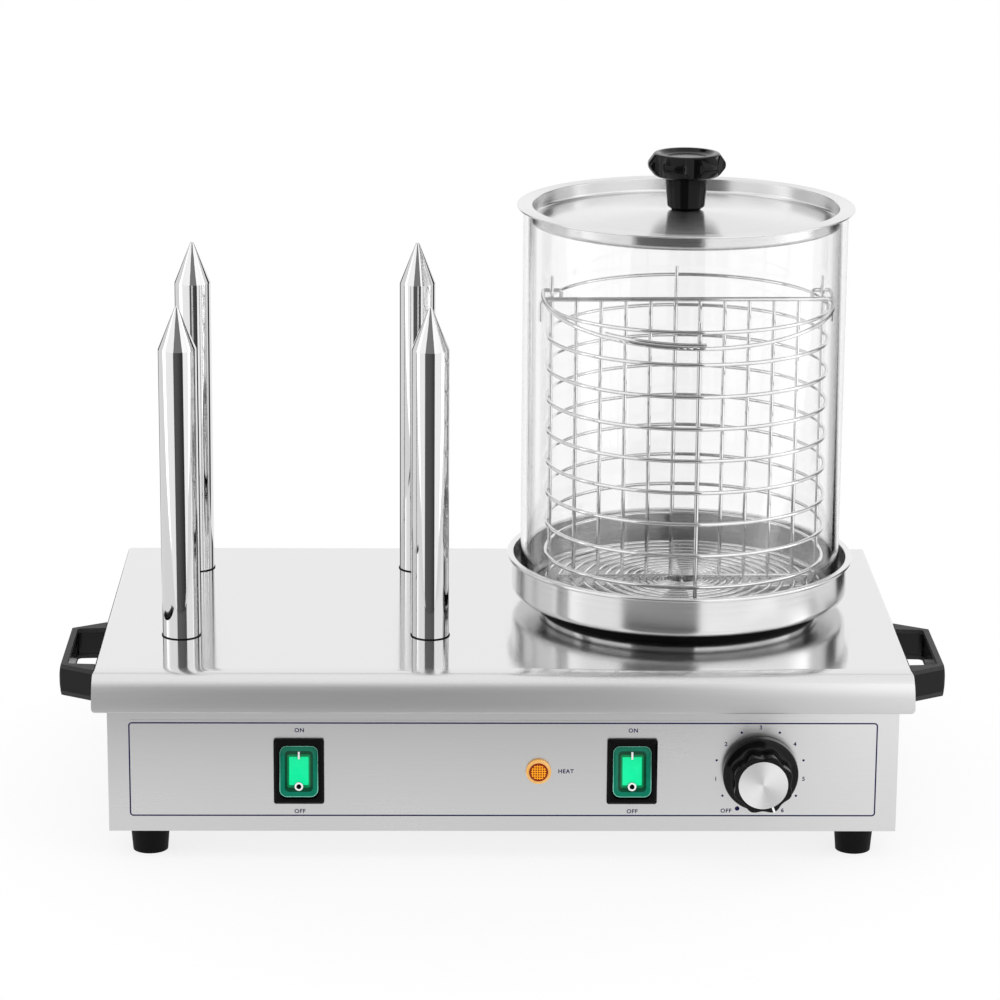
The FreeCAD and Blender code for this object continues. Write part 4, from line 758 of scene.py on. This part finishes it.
for hand in ("left", "right"):
    centre = middle("switch_housing_" + hand)
    body = hand + "_rocker"
    add_piece("rocker_lens_" + hand, rocker_loops(centre),
              [lens_border, lens_edge_highlight, lens_well, lens_sill, lens_window], body,
              ("rocker_" + hand,), rows=[0, 1, 1, 0, 2, 3, 3, 0, 4])
    bar = [[tilted(centre, p.x, p.y + ON_MARK_RISE, out)
            for p in rounded_loop(BAR_WIDTH, BAR_HEIGHT, BAR_CORNER)] for out in BAR_LEVELS]
    add_piece("on_mark_" + hand, bar, [lens_well, white_ink], body, rows=[0, 1, 0, 1])
    ring = [[tilted(centre, p.x, p.y - OFF_MARK_DROP, out) for p in round_loop(radius)]
            for radius, out in RING_LOOPS]
    add_piece("off_mark_" + hand, ring, [lens_well, white_ink, switch_frame], body,
              rows=[0, 1, 1, 2, 0, 2])
print("rocker centre height, mm:", round(centre.z, 1))

# %% [markdown]
# ## Heat lamp
# The indicator is amber acrylic. Its bezel carries painted light: it is pale where light pipes round the
# edge. The wall inside it is dark red, and the lens is moulded with a grid of small pits that break up the
# filament. The pits are pressed into a disc of fine rings by one formula, so they are real hollows, and a
# colour with the same pitch paints shade into them.

# %% Lamp
LAMP = middle("heat_lamp_lens")
LENS_RADIUS, LENS_FRONT = half_width("heat_lamp_lens"), low("heat_lamp_lens").y
PIT_PITCH, PIT_DEPTH = 1.45, 0.32
LENS_RINGS, DARK_RINGS, LENS_STEPS = 44, 8, 96

# The bezel's pale colour is painted light, piped round the edge of the lamp.
amber_bezel_painted_light = lens("amber_lens_bezel_painted_light", ("#F2A83E", "#FFD08A"), (0.1, 0.16))
red_wall = lens("amber_lens_wall", ("#7A1E02", "#9A3206"), (0.12, 0.2))
amber_field, tree, shader = new_finish("amber_lens_field", IOR=1.58, Specular_IOR_Level=0.15,
                                       Roughness=0.15, Emission_Strength=0.18)
place = split_place(tree)
waves = []
for letter, centre in (("X", LAMP.x), ("Z", LAMP.z)):
    aside = maths(tree, "SUBTRACT", place[letter], centre * MM)
    waves.append(maths(tree, "COSINE", maths(tree, "MULTIPLY", aside, math.pi / (PIT_PITCH * MM))))
# Painted shade: the colour runs from amber between the pits to dark brown at their middles.
shade = maths(tree, "ABSOLUTE", maths(tree, "MULTIPLY", *waves))
amber = ramp(tree, shade, (0.25, "#FBA51E"), (0.50, "#C05A04"), (0.75, "#6A2400"))
tree.links.new(amber, shader.inputs["Base Color"])
tree.links.new(amber, shader.inputs["Emission Color"])


def pit(x, z):
    """Depth of the pitted face at a place on it."""
    hollow = math.cos(math.pi * x / PIT_PITCH) * math.cos(math.pi * z / PIT_PITCH)
    return PIT_DEPTH * hollow ** 6


lens_loops = [[(LAMP.x + p.x, high("heat_lamp_lens").y, LAMP.z + p.y)
               for p in round_loop(LENS_RADIUS, LENS_STEPS)]]
for ring in range(LENS_RINGS + 1):
    radius = LENS_RADIUS * (1 - ring / LENS_RINGS)
    lens_loops.append([(LAMP.x + p.x, LENS_FRONT + pit(p.x, p.y) * (ring > DARK_RINGS), LAMP.z + p.y)
                       for p in round_loop(radius, LENS_STEPS)])
lens_rows = [1] * (DARK_RINGS + 1) + [0] * (LENS_RINGS - DARK_RINGS)
add_piece("amber_lens", lens_loops, [amber_field, red_wall], "base", ("heat_lamp_lens",),
          ends=(True, False), rows=lens_rows + [1, 0], sharp=50)
nodes["heat_lamp_barrel"].data.materials[0] = amber_bezel_painted_light
print("lamp centre, mm:", [round(v, 1) for v in LAMP])

# %% [markdown]
# ## Printing on the panel
# The label is screen-printed in navy: a thin frame, the switch words, a dial scale and its numbers. Ink
# stands a few hundredths of a millimetre proud. The frame is a flat band between two rounded loops, the
# dots are small discs, and the words are text curves, which need no drawn letters.

# %% Frame line and dots
INK_LIFT = 0.03
LABEL_FRONT = low("control_label").y
FRAME_WIDTH, FRAME_HEIGHT, FRAME_LINE, FRAME_CORNER, FRAME_DROP = 445.0, 58.8, 0.85, 2.2, 57.6


def printed_loops(x, z, *loops):
    """Flat loops laid on the label, the first and the last sunk to its face."""
    outs = [0.0] + [INK_LIFT] * (len(loops) - 2) + [0.0]
    return [[(x + p.x, LABEL_FRONT - out, z + p.y) for p in loop] for loop, out in zip(loops, outs)]


outer = rounded_loop(FRAME_WIDTH, FRAME_HEIGHT, FRAME_CORNER)
inner = rounded_loop(FRAME_WIDTH - 2 * FRAME_LINE, FRAME_HEIGHT - 2 * FRAME_LINE, FRAME_CORNER - FRAME_LINE)
add_piece("printed_frame", printed_loops(0, PLATE_TOP - FRAME_DROP, outer, outer, inner, inner), [navy_ink],
          "base", ends=(False, False))


def printed_dot(name, x, z, radius, steps=24):
    """Round dot of ink."""
    edge = round_loop(radius, steps)
    loops = printed_loops(x, z, edge, edge, round_loop(radius / 2, steps))
    loops[-1] = [(px, LABEL_FRONT - INK_LIFT, pz) for px, _, pz in loops[-1]]
    add_piece(name, loops, [navy_ink], "base", ends=(False, True))


DIAL = middle("control_knob_cap")
SCALE_RADIUS, DOT_RADIUS, OFF_DOT_RADIUS = 26.8, 0.72, 1.4
DOT_ANGLES, OFF_DOT_ANGLE = (-125, -75, -25, 25, 75, 125), -151
NUMBER_PLACES = ((-100, 26.6), (-50, 26.8), (0, 27.6), (50, 26.8), (100, 26.6), (150, 28.2))
OFF_PLACE = (-141.5, 31.6)


def on_scale(angle, radius=SCALE_RADIUS):
    """Place on the dial scale, with the angle clockwise from the top."""
    return DIAL.x + radius * math.sin(math.radians(angle)), DIAL.z + radius * math.cos(math.radians(angle))


for index, angle in enumerate(DOT_ANGLES):
    printed_dot("scale_dot_%d" % (index + 1), *on_scale(angle), DOT_RADIUS)
printed_dot("off_dot", *on_scale(OFF_DOT_ANGLE), OFF_DOT_RADIUS)

# %% Words and numbers
CAP_HEIGHT, CAP_SHARE, WORD_WEIGHT = 2.55, 0.73, 0.09


def printed_word(name, words, x, z, spacing=1.12, cap=CAP_HEIGHT):
    """Word printed on the label, centred at a place given in millimetres."""
    curve = bpy.data.curves.new(name, "FONT")
    curve.body = words
    curve.size = cap / CAP_SHARE * MM
    curve.space_character = spacing
    curve.align_x = "CENTER"
    curve.extrude = INK_LIFT / 2 * MM
    curve.offset = WORD_WEIGHT * MM
    curve.materials.append(navy_ink)
    word = bpy.data.objects.new(name, curve)
    word.location = Vector((x, LABEL_FRONT - INK_LIFT / 2, z - cap / 2)) * MM
    word.rotation_euler = (math.radians(90), 0, 0)
    bpy.context.scene.collection.objects.link(word)
    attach(word, "base")


WORD_DROP_ON, WORD_DROP_OFF, WORD_SHIFT, HEAT_SHIFT = 33.0, 83.8, 0.4, 16.3
for hand in ("left", "right"):
    word_x = middle("switch_housing_" + hand).x + WORD_SHIFT
    printed_word("word_on_" + hand, "ON", word_x, PLATE_TOP - WORD_DROP_ON)
    printed_word("word_off_" + hand, "OFF", word_x, PLATE_TOP - WORD_DROP_OFF)
printed_word("word_heat", "HEAT", LAMP.x + HEAT_SHIFT, LAMP.z)
for index, (angle, reach) in enumerate(NUMBER_PLACES):
    printed_word("number_%d" % (index + 1), str(index + 1), *on_scale(angle, reach))
printed_word("word_off_dial", "OFF", *on_scale(*OFF_PLACE))
print("printed words and numbers:", len(bpy.data.curves))

# %% [markdown]
# ## Dial knob and pointer
# The dial knob is one phenolic moulding: a round skirt and a grip with eight shallow waves. Its outline is
# turned about the shaft, and a cosine pushes the grip's wall in and out. The wave fades towards the skirt
# and towards the metal cap, so both stay round. The pointer is a line of white paint: it starts at the
# cap, crosses the front of the grip and runs down its flank, so it is one bent strip.

# %% Dial knob
KNOB_WAVES, WAVE_DEPTH, WAVE_STEPS = 8, 0.9, 192
POINTER_ANGLE, POINTER_WIDTH, POINTER_STAND, POINTER_SINK = math.radians(157), 1.25, 0.06, 0.3
SKIRT_REAR, SKIRT_FRONT, SKIRT_RADIUS, SKIRT_SLOPE = 1.45, 8.0, half_width("control_knob"), 1.5
GRIP_WAIST, CAP_RADIUS, CAP_STAND, FLANK_END = 17.2, 14.7, 0.1, 12.7
WAVE_FADE_OUT, WAVE_FADE_IN = 4, 2
grip_front = PANEL_FRONT - low("control_knob_cap").y - CAP_STAND
dial_path = rounded_path([(SKIRT_RADIUS - SKIRT_SLOPE, SKIRT_REAR, 0), (SKIRT_RADIUS, SKIRT_REAR, 0.8),
                          (SKIRT_RADIUS, SKIRT_FRONT, 1.6), (GRIP_WAIST, SKIRT_FRONT + SKIRT_SLOPE, 3.0),
                          (GRIP_WAIST, grip_front, 0.7), (CAP_RADIUS, grip_front, 0)], steps=8)
dial_loops = []
for radius, out in dial_path:
    off_skirt = min(max((out - SKIRT_FRONT) / WAVE_FADE_OUT, 0), 1)
    swell = off_skirt * min(max((radius - CAP_RADIUS) / WAVE_FADE_IN, 0), 1)
    loop = []
    for step in range(WAVE_STEPS):
        angle = 2 * math.pi * step / WAVE_STEPS
        reach = radius + WAVE_DEPTH * swell * math.cos(KNOB_WAVES * (angle - POINTER_ANGLE))
        loop.append((DIAL.x + reach * math.sin(angle), PANEL_FRONT - out, DIAL.z + reach * math.cos(angle)))
    dial_loops.append(loop)
add_piece("dial_knob", dial_loops, [phenolic], "dial_assembly", ("control_knob",),
          sharp=50)

# %% Pointer
GRIP_RADIUS = GRIP_WAIST + WAVE_DEPTH
outer_face, inner_face = grip_front + POINTER_STAND, grip_front - POINTER_SINK
outer_grip, inner_grip = GRIP_RADIUS + POINTER_STAND, GRIP_RADIUS - POINTER_SINK
bends = ((CAP_RADIUS, outer_face, CAP_RADIUS, inner_face), (outer_grip, outer_face, inner_grip, inner_face),
         (outer_grip, FLANK_END, inner_grip, FLANK_END))
along = Vector((math.sin(POINTER_ANGLE), math.cos(POINTER_ANGLE)))
aside = Vector((along.y, -along.x))
strip = []
for reach, out, inner_reach, inner_out in bends:
    loop = []
    for side, far, stand in ((-1, reach, out), (1, reach, out), (1, inner_reach, inner_out),
                             (-1, inner_reach, inner_out)):
        spot = along * far + aside * (side * POINTER_WIDTH / 2)
        loop.append((DIAL.x + spot.x, PANEL_FRONT - stand, DIAL.z + spot.y))
    strip.append(loop)
add_piece("dial_pointer", strip, [white_ink], "dial_assembly")
print("knob face, mm out of the panel:", round(grip_front, 1))

# %% View transform
bpy.context.scene.view_settings.view_transform = "Standard"
bpy.context.view_layer.update()
